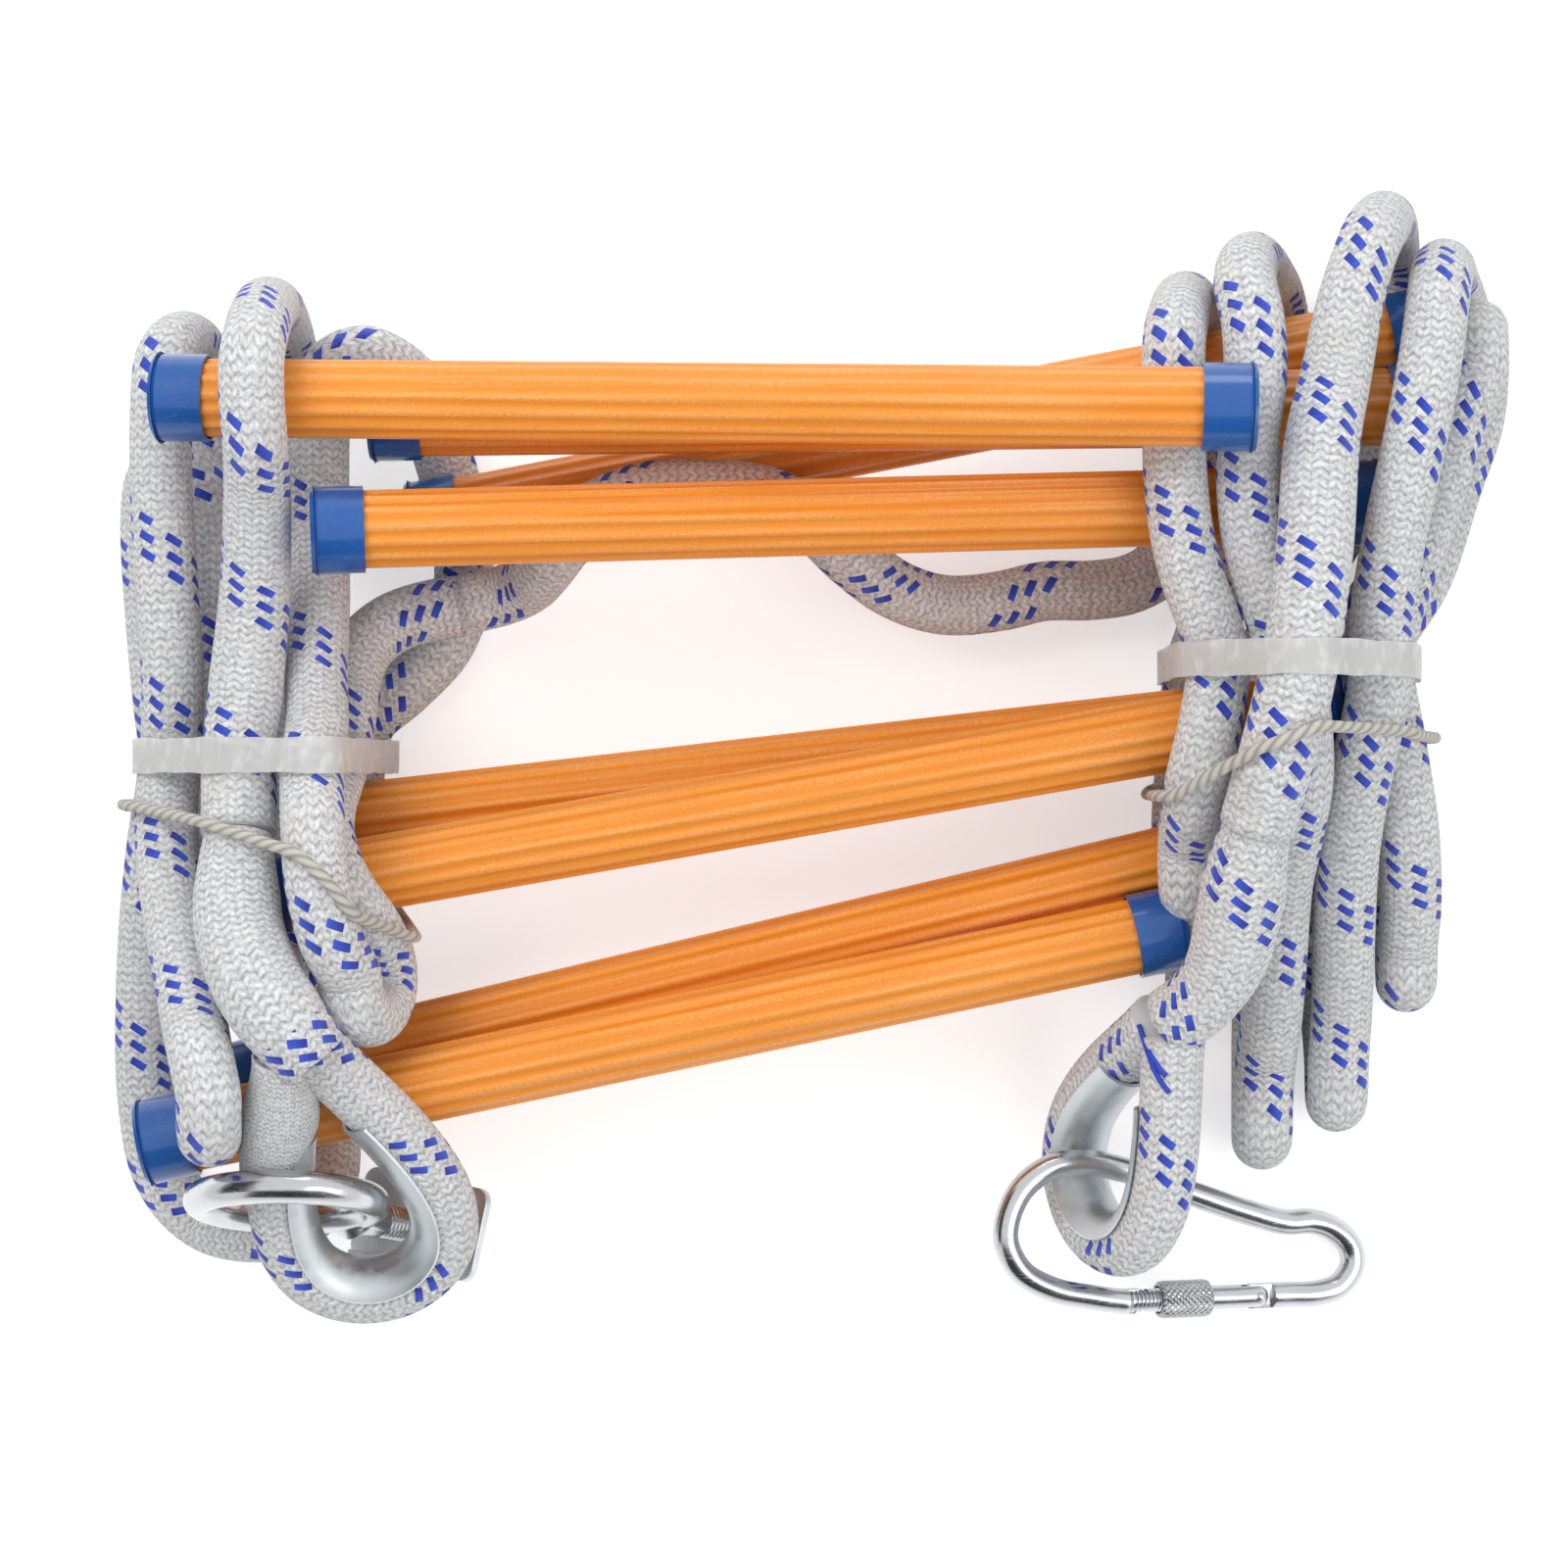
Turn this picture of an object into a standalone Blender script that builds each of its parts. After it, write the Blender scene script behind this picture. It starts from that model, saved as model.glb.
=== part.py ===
# Emergency escape ladder, folded up and tied as a bundle that lies flat.
# The bundle is seen from above: +X to the right, +Y up the picture, +Z towards the eye.
# Every size here is in millimetres and becomes metres where an object is made.

import math

import bmesh
import bpy
import numpy as np
from mathutils import Matrix, Vector

MM = 0.001
GAP = 0.3

# Ropes
ROPE_RADIUS = 10.8
SPLICED_RADIUS = 12.8
FLOOR_CUT = 0.1 * 2 * ROPE_RADIUS
FLOOR_LEVEL = ROPE_RADIUS - FLOOR_CUT
THICK_LEFT = (50.0, 140.0)
THICK_RIGHT = (130.0, 200.0)

# Rungs and their end caps
RUNG_LENGTH = 350.0
RUNG_AS_MEASURED = 350.0
RUNG_RADIUS = 13.3
RUNG_RIBS = 14
RUNG_GROOVE = 1.0
RUNG_BORE = 9.5
CAP_LENGTH = 17.0
CAP_WALL = 0.9
CAP_CLEARANCE = 0.5
CAP_END = 2.0
CAP_STEPS = 20

# Bands and ties round the waist of each hank
TAPE_WIDTH = 12.6
TAPE_THICKNESS = 0.9
TWINE_RADIUS = 2.0

# Eyes at the rope ends and their thimbles
EYE_RADIUS = 27.5
EYE_AS_MEASURED = 27.5
THIMBLE_CLEARANCE = 0.6
THIMBLE_WALL = 1.3
THIMBLE_SPREAD = 72.0

# Eye bolt, plate, washer and nut
BOLT_RING_RADIUS = 29.6
BOLT_WIRE_RADIUS = 5.7
BOLT_REACH = 81.0
THREAD_RADIUS = 5.9
THREAD_DEPTH = 0.6
THREAD_PITCH = 1.75
THREAD_START = 46.0
PLATE_AT = 62.0
PLATE_THICKNESS = 3.0
PLATE_HOLE_RADIUS = 6.6
WASHER_THICKNESS = 2.0
WASHER_RADIUS = 11.5
NUT_HEIGHT = 10.0
NUT_ACROSS = 18.0

# Carabiner, hung on the right eye at this place of its own frame
SWING_AT = (-6.0, 26.0)
WIRE_RADIUS = 4.6
GATE_RADIUS = 4.3
GATE_PIN_AT = (57.4, -23.9)
GATE_NOSE_AT = 7.8
SLEEVE_RADIUS = 6.8
SLEEVE_LENGTH = 19.3
SLEEVE_AT = 28.9
TONGUE_THICKNESS = 3.0
PIN_RADIUS = 1.3


# Scene, collections and materials

for old in list(bpy.data.objects):
    bpy.data.objects.remove(old)

parts = bpy.data.collections.new("escape_ladder_bundle")
bpy.context.scene.collection.children.link(parts)
cutters = bpy.data.collections.new("cutters")
cutters.hide_render = True
bpy.context.scene.collection.children.link(cutters)


def material(name, colour, metallic, roughness):
    made = bpy.data.materials.new(name)
    made.use_nodes = True
    shader = made.node_tree.nodes["Principled BSDF"]
    shader.inputs["Base Color"].default_value = (*colour, 1.0)
    shader.inputs["Metallic"].default_value = metallic
    shader.inputs["Roughness"].default_value = roughness
    return made


ROPE = material("braided_rope", (0.80, 0.80, 0.78), 0.0, 0.85)
RESIN = material("orange_resin", (0.85, 0.34, 0.03), 0.0, 0.35)
CAP = material("blue_plastic", (0.01, 0.08, 0.30), 0.0, 0.3)
ZINC = material("bright_zinc", (0.75, 0.76, 0.78), 1.0, 0.2)
GALVANISED = material("satin_zinc", (0.60, 0.64, 0.66), 1.0, 0.4)
TAPE = material("clear_tape", (0.75, 0.75, 0.73), 0.0, 0.5)
TWINE = material("grey_twine", (0.55, 0.54, 0.52), 0.0, 0.9)


# Helpers that make objects


def add_mesh(name, mesh, look, smooth=None):
    thing = bpy.data.objects.new(name, mesh)
    parts.objects.link(thing)
    if look:
        mesh.materials.clear()
        mesh.materials.append(look)
    if smooth is not None:
        mesh.shade_smooth()
        mesh.set_sharp_from_angle(angle=math.radians(smooth))
    return thing


def as_cutter(thing):
    parts.objects.unlink(thing)
    cutters.objects.link(thing)
    thing.hide_render = True
    thing.display_type = "WIRE"
    return thing


def cut(thing, tool, operation="DIFFERENCE", crosses_itself=False):
    step = thing.modifiers.new(tool.name, "BOOLEAN")
    step.operation = operation
    step.use_self = crosses_itself
    step.solver = "EXACT"
    step.object = tool
    return step


def frame_at(origin, x_axis, y_axis):
    """The matrix of an object at this origin, given in millimetres, with these two axes."""
    x_axis = Vector(x_axis).normalized()
    z_axis = x_axis.cross(Vector(y_axis)).normalized()
    y_axis = z_axis.cross(x_axis)
    turned_to = Matrix((x_axis, y_axis, z_axis)).transposed().to_4x4()
    return Matrix.Translation(Vector(origin) * MM) @ turned_to


def box(name, low, high, look=None, matrix=None):
    low = np.array(low)
    high = np.array(high)
    shape = bmesh.new()
    bmesh.ops.create_cube(shape, size=1.0)
    bmesh.ops.scale(shape, vec=(high - low) * MM, verts=shape.verts)
    bmesh.ops.translate(shape, vec=(high + low) / 2 * MM, verts=shape.verts)
    mesh = bpy.data.meshes.new(name)
    shape.to_mesh(mesh)
    shape.free()
    thing = add_mesh(name, mesh, look)
    if matrix:
        thing.matrix_world = matrix
    return thing


def cylinder(name, radius, low, high, steps, look=None, matrix=None, across=None):
    """A cylinder about local Z, or about the local axis that across turns Z to."""
    shape = bmesh.new()
    bmesh.ops.create_cone(
        shape,
        cap_ends=True,
        segments=steps,
        radius1=radius * MM,
        radius2=radius * MM,
        depth=(high - low) * MM,
    )
    bmesh.ops.translate(shape, vec=(0, 0, (high + low) / 2 * MM), verts=shape.verts)
    if across:
        bmesh.ops.transform(shape, matrix=across, verts=shape.verts)
    mesh = bpy.data.meshes.new(name)
    shape.to_mesh(mesh)
    shape.free()
    thing = add_mesh(name, mesh, look, smooth=35)
    if matrix:
        thing.matrix_world = matrix
    return thing


def turned(name, profile, steps, look, matrix):
    """A profile of (radius, height) points, from top to bottom, turned about local Z."""
    mesh = bpy.data.meshes.new(name)
    points = [(radius * MM, 0, height * MM) for radius, height in profile]
    count = len(points)
    edges = [(k, k + 1) for k in range(count - 1)]
    if profile[0][0] > 0:
        edges.append((count - 1, 0))
    mesh.from_pydata(points, edges, [])
    thing = add_mesh(name, mesh, look)
    thing.matrix_world = matrix
    screw = thing.modifiers.new("turn", "SCREW")
    screw.steps = steps
    screw.render_steps = steps
    screw.use_merge_vertices = True
    screw.merge_threshold = 0.00001
    screw.use_smooth_shade = True
    return thing


def mesh_of(thing):
    """The evaluated mesh of an object, in the world frame, with the object removed."""
    bpy.context.view_layer.update()
    graph = bpy.context.evaluated_depsgraph_get()
    mesh = bpy.data.meshes.new_from_object(thing.evaluated_get(graph))
    mesh.transform(thing.matrix_world)
    shape = bmesh.new()
    shape.from_mesh(mesh)
    bmesh.ops.remove_doubles(shape, verts=shape.verts, dist=0.000001)
    bmesh.ops.recalc_face_normals(shape, faces=shape.faces)
    shape.to_mesh(mesh)
    shape.free()
    bpy.data.objects.remove(thing)
    return mesh


def spline_object(name, path, radii, closed):
    curve = bpy.data.curves.new(name, "CURVE")
    curve.dimensions = "3D"
    line = curve.splines.new("POLY")
    line.points.add(len(path) - 1)
    for point, place, radius in zip(line.points, path, radii):
        point.co = (*(np.array(place) * MM), 1.0)
        point.radius = radius
    line.use_cyclic_u = closed
    curve.use_fill_caps = not closed
    thing = bpy.data.objects.new(name, curve)
    parts.objects.link(thing)
    return thing


def tube(name, path, radii, look, detail=2, closed=False, matrix=None):
    """A round tube along these points, as a mesh."""
    if np.isscalar(radii):
        radii = [radii] * len(path)
    thing = spline_object(name, path, radii, closed)
    thing.data.bevel_depth = MM
    thing.data.bevel_resolution = detail
    made = add_mesh(name, mesh_of(thing), look, smooth=50)
    if matrix:
        made.matrix_world = matrix
    return made


def flat_outline(name, outlines, depth, look, matrix):
    """Flat closed outlines, the second one a hole, given a depth along local Z."""
    curve = bpy.data.curves.new(name, "CURVE")
    curve.dimensions = "2D"
    curve.fill_mode = "BOTH"
    curve.extrude = depth / 2 * MM
    for outline in outlines:
        line = curve.splines.new("POLY")
        line.points.add(len(outline) - 1)
        for point, (x, y) in zip(line.points, outline):
            point.co = (x * MM, y * MM, 0, 1)
        line.use_cyclic_u = True
    thing = bpy.data.objects.new(name, curve)
    parts.objects.link(thing)
    made = add_mesh(name, mesh_of(thing), look, smooth=20)
    made.matrix_world = matrix
    return made


# Helpers that draw lines

# The hanks lie on the rung ends, so all that lies further out than this moves with them
HANKS_START = 100.0
SIDE_SHIFT = (RUNG_LENGTH - RUNG_AS_MEASURED) / 2


def moved_out(place):
    """A place shifted sideways with the rung ends, less so between the hanks."""
    share = max(-1.0, min(1.0, place[0] / HANKS_START))
    return (place[0] + SIDE_SHIFT * share, *place[1:])


def all_moved_out(route):
    return [moved_out(place) if isinstance(place, tuple) else place for place in route]


def with_half_turns(route):
    """The route with each lone number, a reach along Y, made three points of a half turn."""
    points = []
    for k, place in enumerate(route):
        if isinstance(place, tuple):
            points.append(np.array(place, float))
            continue
        start = np.array(route[k - 1], float)
        middle = (start + np.array(route[k + 1], float)) / 2
        for angle in (30, 60, 90, 120, 150):
            turn = math.radians(angle)
            point = middle + (start - middle) * math.cos(turn)
            point[1] += place * math.sin(turn)
            points.append(point)
    return np.array(points)


def smooth_line(points, dense=12):
    """A smooth curve through the points, close together along it."""
    ends = (2 * points[:1] - points[1:2], points, 2 * points[-1:] - points[-2:-1])
    around = np.vstack(ends)
    line = []
    for k in range(1, len(around) - 2):
        p = around[k - 1 : k + 3]
        steps = np.sqrt(np.linalg.norm(np.diff(p, axis=0), axis=1))
        t = np.concatenate([[0], np.cumsum(steps)])
        for share in range(dense):
            at = t[1] + (t[2] - t[1]) * share / dense
            a = [((t[i + 1] - at) * p[i] + (at - t[i]) * p[i + 1]) / (t[i + 1] - t[i]) for i in range(3)]
            b = [((t[i + 2] - at) * a[i] + (at - t[i]) * a[i + 1]) / (t[i + 2] - t[i]) for i in range(2)]
            line.append(((t[2] - at) * b[0] + (at - t[1]) * b[1]) / (t[2] - t[1]))
    line.append(points[-1])
    return np.array(line)


def along(line):
    return np.concatenate([[0], np.cumsum(np.linalg.norm(np.diff(line, axis=0), axis=1))])


def at_places(line, places):
    length = along(line)
    return np.stack([np.interp(places, length, line[:, k]) for k in range(3)], axis=1)


def fewer_points(line, shortest=8.0, longest=30.0):
    """The line again, with points close together only where it bends."""
    length = along(line)
    fine = at_places(line, np.linspace(0, length[-1], int(length[-1] / 4) + 1))
    bend = np.zeros(len(fine))
    forward = np.diff(fine, axis=0)
    forward /= np.linalg.norm(forward, axis=1)[:, None]
    cosine = np.clip((forward[1:] * forward[:-1]).sum(axis=1), -1, 1)
    bend[1:-1] = np.arccos(cosine) / 4
    spread = np.ones(5) / 5
    bend = np.convolve(np.pad(bend, 2, mode="edge"), spread, mode="valid")
    step = np.clip(0.75 / np.maximum(bend, 0.0001), shortest, longest)
    need = np.concatenate([[0], np.cumsum(4 / step[1:])])
    count = int(math.ceil(need[-1]))
    places = np.interp(np.linspace(0, need[-1], count + 1), need, along(fine))
    return at_places(line, places)


def rope_line(route):
    line = smooth_line(with_half_turns(route))
    line[:, 2] = np.maximum(line[:, 2], FLOOR_LEVEL)
    return line


def thick_radii(line, thick):
    share = np.clip((along(line) - thick[0]) / (thick[1] - thick[0]), 0, 1)
    return SPLICED_RADIUS + (ROPE_RADIUS - SPLICED_RADIUS) * share


def gap_to_itself(line, radii):
    """The least gap between two turns of one tube, measured on points 5 mm apart."""
    length = along(line)
    places = np.linspace(0, length[-1], int(length[-1] / 5) + 1)
    points = at_places(line, places)
    size = np.interp(places, length, radii)
    apart = np.linalg.norm(points[:, None] - points[None], axis=2) - size[:, None] - size[None]
    near = np.abs(places[:, None] - places[None]) < 70
    return np.where(near, 1000.0, apart).min()


def hull(points):
    """The convex outline of points (x, z), counter-clockwise."""
    points = sorted(set(map(tuple, np.round(points, 3))))

    def half(ordered):
        kept = []
        for p in ordered:
            while len(kept) > 1:
                (ax, ay), (bx, by) = kept[-2:]
                if (bx - ax) * (p[1] - ay) - (by - ay) * (p[0] - ax) > 0:
                    break
                kept.pop()
            kept.append(p)
        return kept[:-1]

    return np.array(half(points) + half(points[::-1]))


def wrap_outline(lines, tie, reach, clear, lowest):
    """The taut outline, as (x, z), round all rope points near the tie line, a list of (x, y)."""
    tie = np.array(tie)
    found = []
    for line, radii in lines:
        places = np.linspace(0, along(line)[-1], int(along(line)[-1] / 3))
        size = np.interp(places, along(line), radii)
        points = at_places(line, places)
        near = np.abs(points[:, 1] - np.interp(points[:, 0], tie[:, 0], tie[:, 1])) < reach
        for (x, _, z), radius in zip(points[near], size[near]):
            for turn in np.linspace(0, 2 * math.pi, 16, endpoint=False):
                wide = (radius + clear) / math.cos(math.pi / 16)
                found.append((x + wide * math.cos(turn), max(z + wide * math.sin(turn), lowest)))
    return hull(found)


# Rungs with their caps, listed by the middle of each end face

RUNGS = (
    ((-209.7, 122.8, 97.6), (139.4, 117.1, 121.6)),
    ((-140.9, 118.8, 69.2), (209.1, 122.8, 69.2)),
    ((-129.8, 86.2, 39.2), (213.8, 152.5, 39.2)),
    ((-157.1, 78.0, 100.7), (190.5, 90.1, 62.3)),
    ((-166.7, -21.0, 39.2), (181.0, 18.6, 39.2)),
    ((-173.1, -42.6, 68.4), (171.7, 17.7, 69.6)),
    ((-197.8, -112.6, 39.2), (142.8, -31.8, 39.2)),
    ((-220.0, -129.8, 68.5), (122.6, -59.1, 57.3)),
)


def rung_outline():
    outline = []
    for rib in range(RUNG_RIBS):
        for share, depth in ((0.08, RUNG_GROOVE), (0.28, 0.0), (0.72, 0.0), (0.92, RUNG_GROOVE)):
            angle = 2 * math.pi * (rib + share) / RUNG_RIBS
            radius = RUNG_RADIUS - depth
            outline.append((radius * math.cos(angle), radius * math.sin(angle)))
    return outline


def ring_outline(radius, steps):
    turns = [2 * math.pi * k / steps for k in range(steps)]
    return [(radius * math.cos(turn), radius * math.sin(turn)) for turn in turns]


cap_bore = RUNG_RADIUS + CAP_CLEARANCE
cap_outer = cap_bore + CAP_WALL
cap_profile = (
    (0, CAP_END),
    (cap_bore, CAP_END),
    (cap_bore, CAP_LENGTH),
    (cap_outer, CAP_LENGTH),
    (cap_outer, 1.5),
    (cap_outer - 1.5, 0),
    (0, 0),
)
rung_depth = RUNG_LENGTH - 2 * (CAP_END + GAP)
for number, (left_end, right_end) in enumerate(RUNGS, 1):
    left_end = np.array(left_end, float) - (SIDE_SHIFT, 0, 0)
    right_end = np.array(right_end, float) + (SIDE_SHIFT, 0, 0)
    axis = (right_end - left_end) / np.linalg.norm(right_end - left_end)
    middle = (left_end + right_end) / 2
    across = np.cross((0, 0, 1), axis)
    rung_frame = frame_at(middle, across, np.cross(axis, across))
    flat_outline(
        f"rung_{number}",
        [rung_outline(), ring_outline(RUNG_BORE, 20)],
        rung_depth,
        RESIN,
        rung_frame,
    )
    for side, outward in (("left", -1), ("right", 1)):
        face = middle + axis * outward * RUNG_LENGTH / 2
        cap_frame = frame_at(face, across, -outward * np.cross(axis, across))
        turned(f"rung_{number}_{side}_cap", cap_profile, CAP_STEPS, CAP, cap_frame)


# Rope hanks: each is one rope, drawn as legs up and down with a turn at each end

LEFT_ROPE = (
    (-191, -24, 100), (-191.5, -12.5, 96.3), (-192, -1, 92.5), (-190.5, 26, 87), (-187, 59, 90),
    (-184, 91, 106), (-182.5, 107.5, 121.5), (-183, 120, 125), (-183, 133, 124.5), (-183, 143, 114),
    (-184, 152.5, 92), (-185.5, 157.5, 66), (-187, 158.5, 38), (-187, 151.5, 16), (-184, 131, 8.8),
    (-184, 63.5, 8.8), (-184, 35, 8.8), (-184.5, 17.5, 8.8), (-185.5, 1.5, 8.8), (-185.5, -29, 8.8),
    (-184, -57, 8.8), (-181, -82, 8.8), (-177, -107, 8.8), (-173.5, -124.5, 8.8), (-171, -137.5, 14),
    (-172, -153, 26), (-181, -163.5, 27), (-197, -168.5, 19), (-217.5, -165.5, 8.8),
    (-232, -149.5, 8.8), (-238, -121, 8.8), (-238.5, -78.5, 8.8), (-235.5, -36, 8.8),
    (-230.5, 1.5, 8.8), (-232.5, 22.5, 8.8), (-235.5, 56.5, 8.8), (-237, 85, 8.8), (-235, 101, 12),
    (-227, 107.5, 23), (-216, 100, 33), (-211, 84.5, 36), (-210.5, 48, 36), (-208.5, 1, 35),
    (-211, -28.5, 40), (-211, -59, 57), (-210, -85, 73), (-206.5, -98, 84), (-203.5, -106, 92),
    (-201.5, -113.5, 94.5), -12.8, (-198, -111, 119.8), (-200.5, -100, 117.5), (-205, -88, 107),
    (-208, -77, 100.5), (-211.5, -64, 94), (-218, -37.5, 80), (-221, -17.5, 68), (-220.5, 1, 62),
    (-219, 26.5, 66), (-220.5, 60, 69), (-222.5, 94, 69), (-222.5, 121, 69), (-222, 138, 64),
    (-220, 147.5, 48), (-217.5, 148, 28), (-214.5, 138, 14), (-210.5, 122, 8.8), (-207.5, 92, 8.8),
    (-206.5, 56.5, 8.8), (-207, 22.5, 8.8), (-208, 1.5, 8.8), (-209, -18, 8.8), (-208.5, -36, 14),
    (-203.5, -53, 26), (-195.5, -66.5, 33), (-186.5, -75, 34.5), (-176, -76, 34.5), (-167, -68.5, 33),
    (-162.5, -55, 25), (-162, -39.5, 12), (-162.5, -21.5, 8.8), (-162.5, 1.5, 8.8), (-158.5, 15.5, 8.8),
    (-144.5, 28, 8.8), (-130, 44, 8.8), (-123.5, 65.5, 8.8), (-126, 92, 8.8), (-132, 116, 15),
    (-137, 131, 24), (-147, 141, 31), (-157, 144.5, 36), (-166, 140.5, 38), (-171, 129.5, 38),
    (-172, 117.5, 38), (-171.5, 82.5, 43), (-169.5, 54, 58), (-168.5, 29.5, 73), (-166.5, 12, 86),
    (-166.5, 1, 98), (-165, -12.5, 110), (-163.5, -23.5, 118.5), (-162, -40, 120.5),
    (-158, -58.5, 116.5), (-153, -72, 106), -13, (-143.5, -74, 80.5), (-144.5, -66, 82.5),
    (-148.5, -55.5, 89.6), (-155, -45.5, 95.3), (-161, -34, 95.2), (-164, -24, 90), (-164.5, -15, 81),
    (-163.5, -7, 70), (-162.5, 1, 58.5), (-161.5, 15, 48), (-161, 27, 41), (-157, 40, 36.5),
    (-147.5, 49, 34), (-134, 54, 33), (-119, 56.5, 32),
)
RIGHT_ROPE = (
    (151, -21.5, 107.5), (153.5, -10, 112.5), (156, 1, 117.5), (163, 31.5, 120.6), (169, 70.5, 115),
    (173, 107.5, 106), (178, 128, 100), (184.5, 158, 97), (191, 175.5, 90), (198.5, 186, 70),
    (205.5, 189, 42), (210.5, 182, 18), (212.5, 159.5, 8.8), (209, 124, 8.8), (197, 92, 8.8),
    (181, 63.5, 8.8), (166, 35, 8.8), (163.5, 6.5, 8.8), (170, -29, 8.8), (184.5, -61, 8.8),
    (190.5, -92.5, 8.8), (192, -110, 8.8), -12.6, (189.5, -108, 33.8), (190, -87.5, 38),
    (189, -62.5, 50), (188, -31.5, 66), (190.5, -1, 81), (193.5, 16, 87), (195.5, 32.5, 90),
    (195.5, 49, 90), (200, 79, 92), (204.5, 102, 95), (208.5, 122, 95.5), (212.5, 142, 92),
    (216, 159.5, 84), (221.5, 171, 62), (228.5, 171.5, 34), (237, 160.5, 12), (237.5, 134.5, 8.8),
    (230.5, 102.5, 8.8), (217, 74, 8.8), (204, 54.5, 11), (192.5, 35, 8.8), (190.5, 6.5, 8.8),
    (203, -21.5, 8.8), (212.5, -43, 8.8), (217.5, -66.5, 8.8), -12.6, (214, -65.5, 34),
    (213.5, -49, 44), (210.5, -24.5, 56), (205, 6, 62), (200.5, 33.5, 63), (204, 53.5, 63),
    (214, 81, 64), (222, 108, 65), (227.5, 125, 65), (233, 136, 63), 14, (239, 139.5, 35),
    (237.5, 121.5, 34), (229.5, 97, 33), (219, 65.5, 33), (200.5, 34.5, 33), (197.5, 3, 33),
    (188.5, -25, 33), (177.5, -44, 33), (168.5, -61.5, 30), (165.5, -81.5, 17), (165.5, -101.5, 8.8),
    (165.5, -123.5, 8.8), -12.8, (162.5, -121, 34.2), (163.5, -106.5, 34.8), (164.5, -90.5, 43),
    (164.5, -71, 54), (165, -43, 65), (167, -24.5, 77), (168, -7.5, 91), (167.5, 5.5, 95.9),
    (165.5, 25.5, 95.9), (161.5, 42, 94), (156, 59, 94), (151, 78.5, 94), (149.5, 108.5, 94.5),
    (152, 130, 94.5), (151.5, 148.5, 93), (150, 163, 84), (154.5, 173.5, 62), (162.5, 174, 34),
    (170, 166.5, 14), (173, 148.5, 8.8), (172, 127.5, 8.8), (165, 95.5, 8.8), (152, 63.5, 8.8),
    (141.5, 35, 8.8), (138.5, 6.5, 8.8), (136.5, -25.5, 8.8), (139, -53.5, 8.8), (141.5, -70, 8.8),
    -12.4, (139, -69, 33.5), (137.5, -61, 47), (135.5, -52, 57.5), (132.5, -41.5, 70), (132, -27.5, 74),
    (132, -9, 92), (136.5, 12.5, 96), (139.5, 32.5, 94), (137, 45.5, 94), (131, 62, 94),
    (127, 78.5, 94), (125, 98.5, 93.6), (124.5, 125, 93.5), (125, 142, 90), (129.5, 156, 70),
    (135, 162.5, 42), (141, 159, 19), (144, 141.5, 8.8), (142.5, 124, 8.8), (139.5, 106.5, 10.3),
    (136, 94.5, 13),
)
BOTTOM_RUN = (
    (-118, 57, 32), (-108, 59.5, 31.3), (-99, 63, 35), (-92, 68.5, 45.5), (-85, 76, 57),
    (-76.5, 84.5, 64), (-56.5, 93.5, 63.7), (-34.5, 94.5, 62.7), (-16, 93, 59.5), (1, 86, 52),
    (17, 72, 42), (32.5, 61.5, 32), (50.5, 56.5, 25), (70, 58, 24), (85.5, 61.5, 24), (103.5, 62, 22),
    (117.5, 64.5, 20), (128, 71, 17.7), (133, 82.5, 15.3), (135.5, 93.5, 13.2),
)

left_line = fewer_points(rope_line(all_moved_out(LEFT_ROPE)))
right_line = fewer_points(rope_line(all_moved_out(RIGHT_ROPE)))
run_line = fewer_points(smooth_line(np.array(all_moved_out(BOTTOM_RUN), float)), 10.0)
left_radii = thick_radii(left_line, THICK_LEFT)
right_radii = thick_radii(right_line, THICK_RIGHT)
left_rope = tube("left_rope_hank", left_line, left_radii, ROPE)
right_rope = tube("right_rope_hank", right_line, right_radii, ROPE)
tube("bottom_rope_run", run_line, ROPE_RADIUS, ROPE)
hanks = (("left", left_line, left_radii), ("right", right_line, right_radii))
for side, line, radii in hanks:
    least = round(gap_to_itself(line, radii), 2)
    print(side, "hank: length", round(along(line)[-1]), "mm, least gap to itself", least, "mm")
print("bottom run: length", round(along(run_line)[-1]), "mm")


# Tape bands and twine ties, drawn taut round the ropes they hold

LEFT_TAPE = 2.2
RIGHT_TAPE = 34.5
LEFT_TIE = (
    (-225, -15),
    (-205.5, -19),
    (-186, -24.5),
    (-166, -30.5),
    (-156, -40.5),
    (-148, -53),
    (-141.5, -59.5),
)
RIGHT_TIE = (
    (123.5, -11.5),
    (129, -7.5),
    (138, -2),
    (148, 4),
    (168, 11.5),
    (197.5, 13),
    (207.5, 8.5),
)

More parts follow.
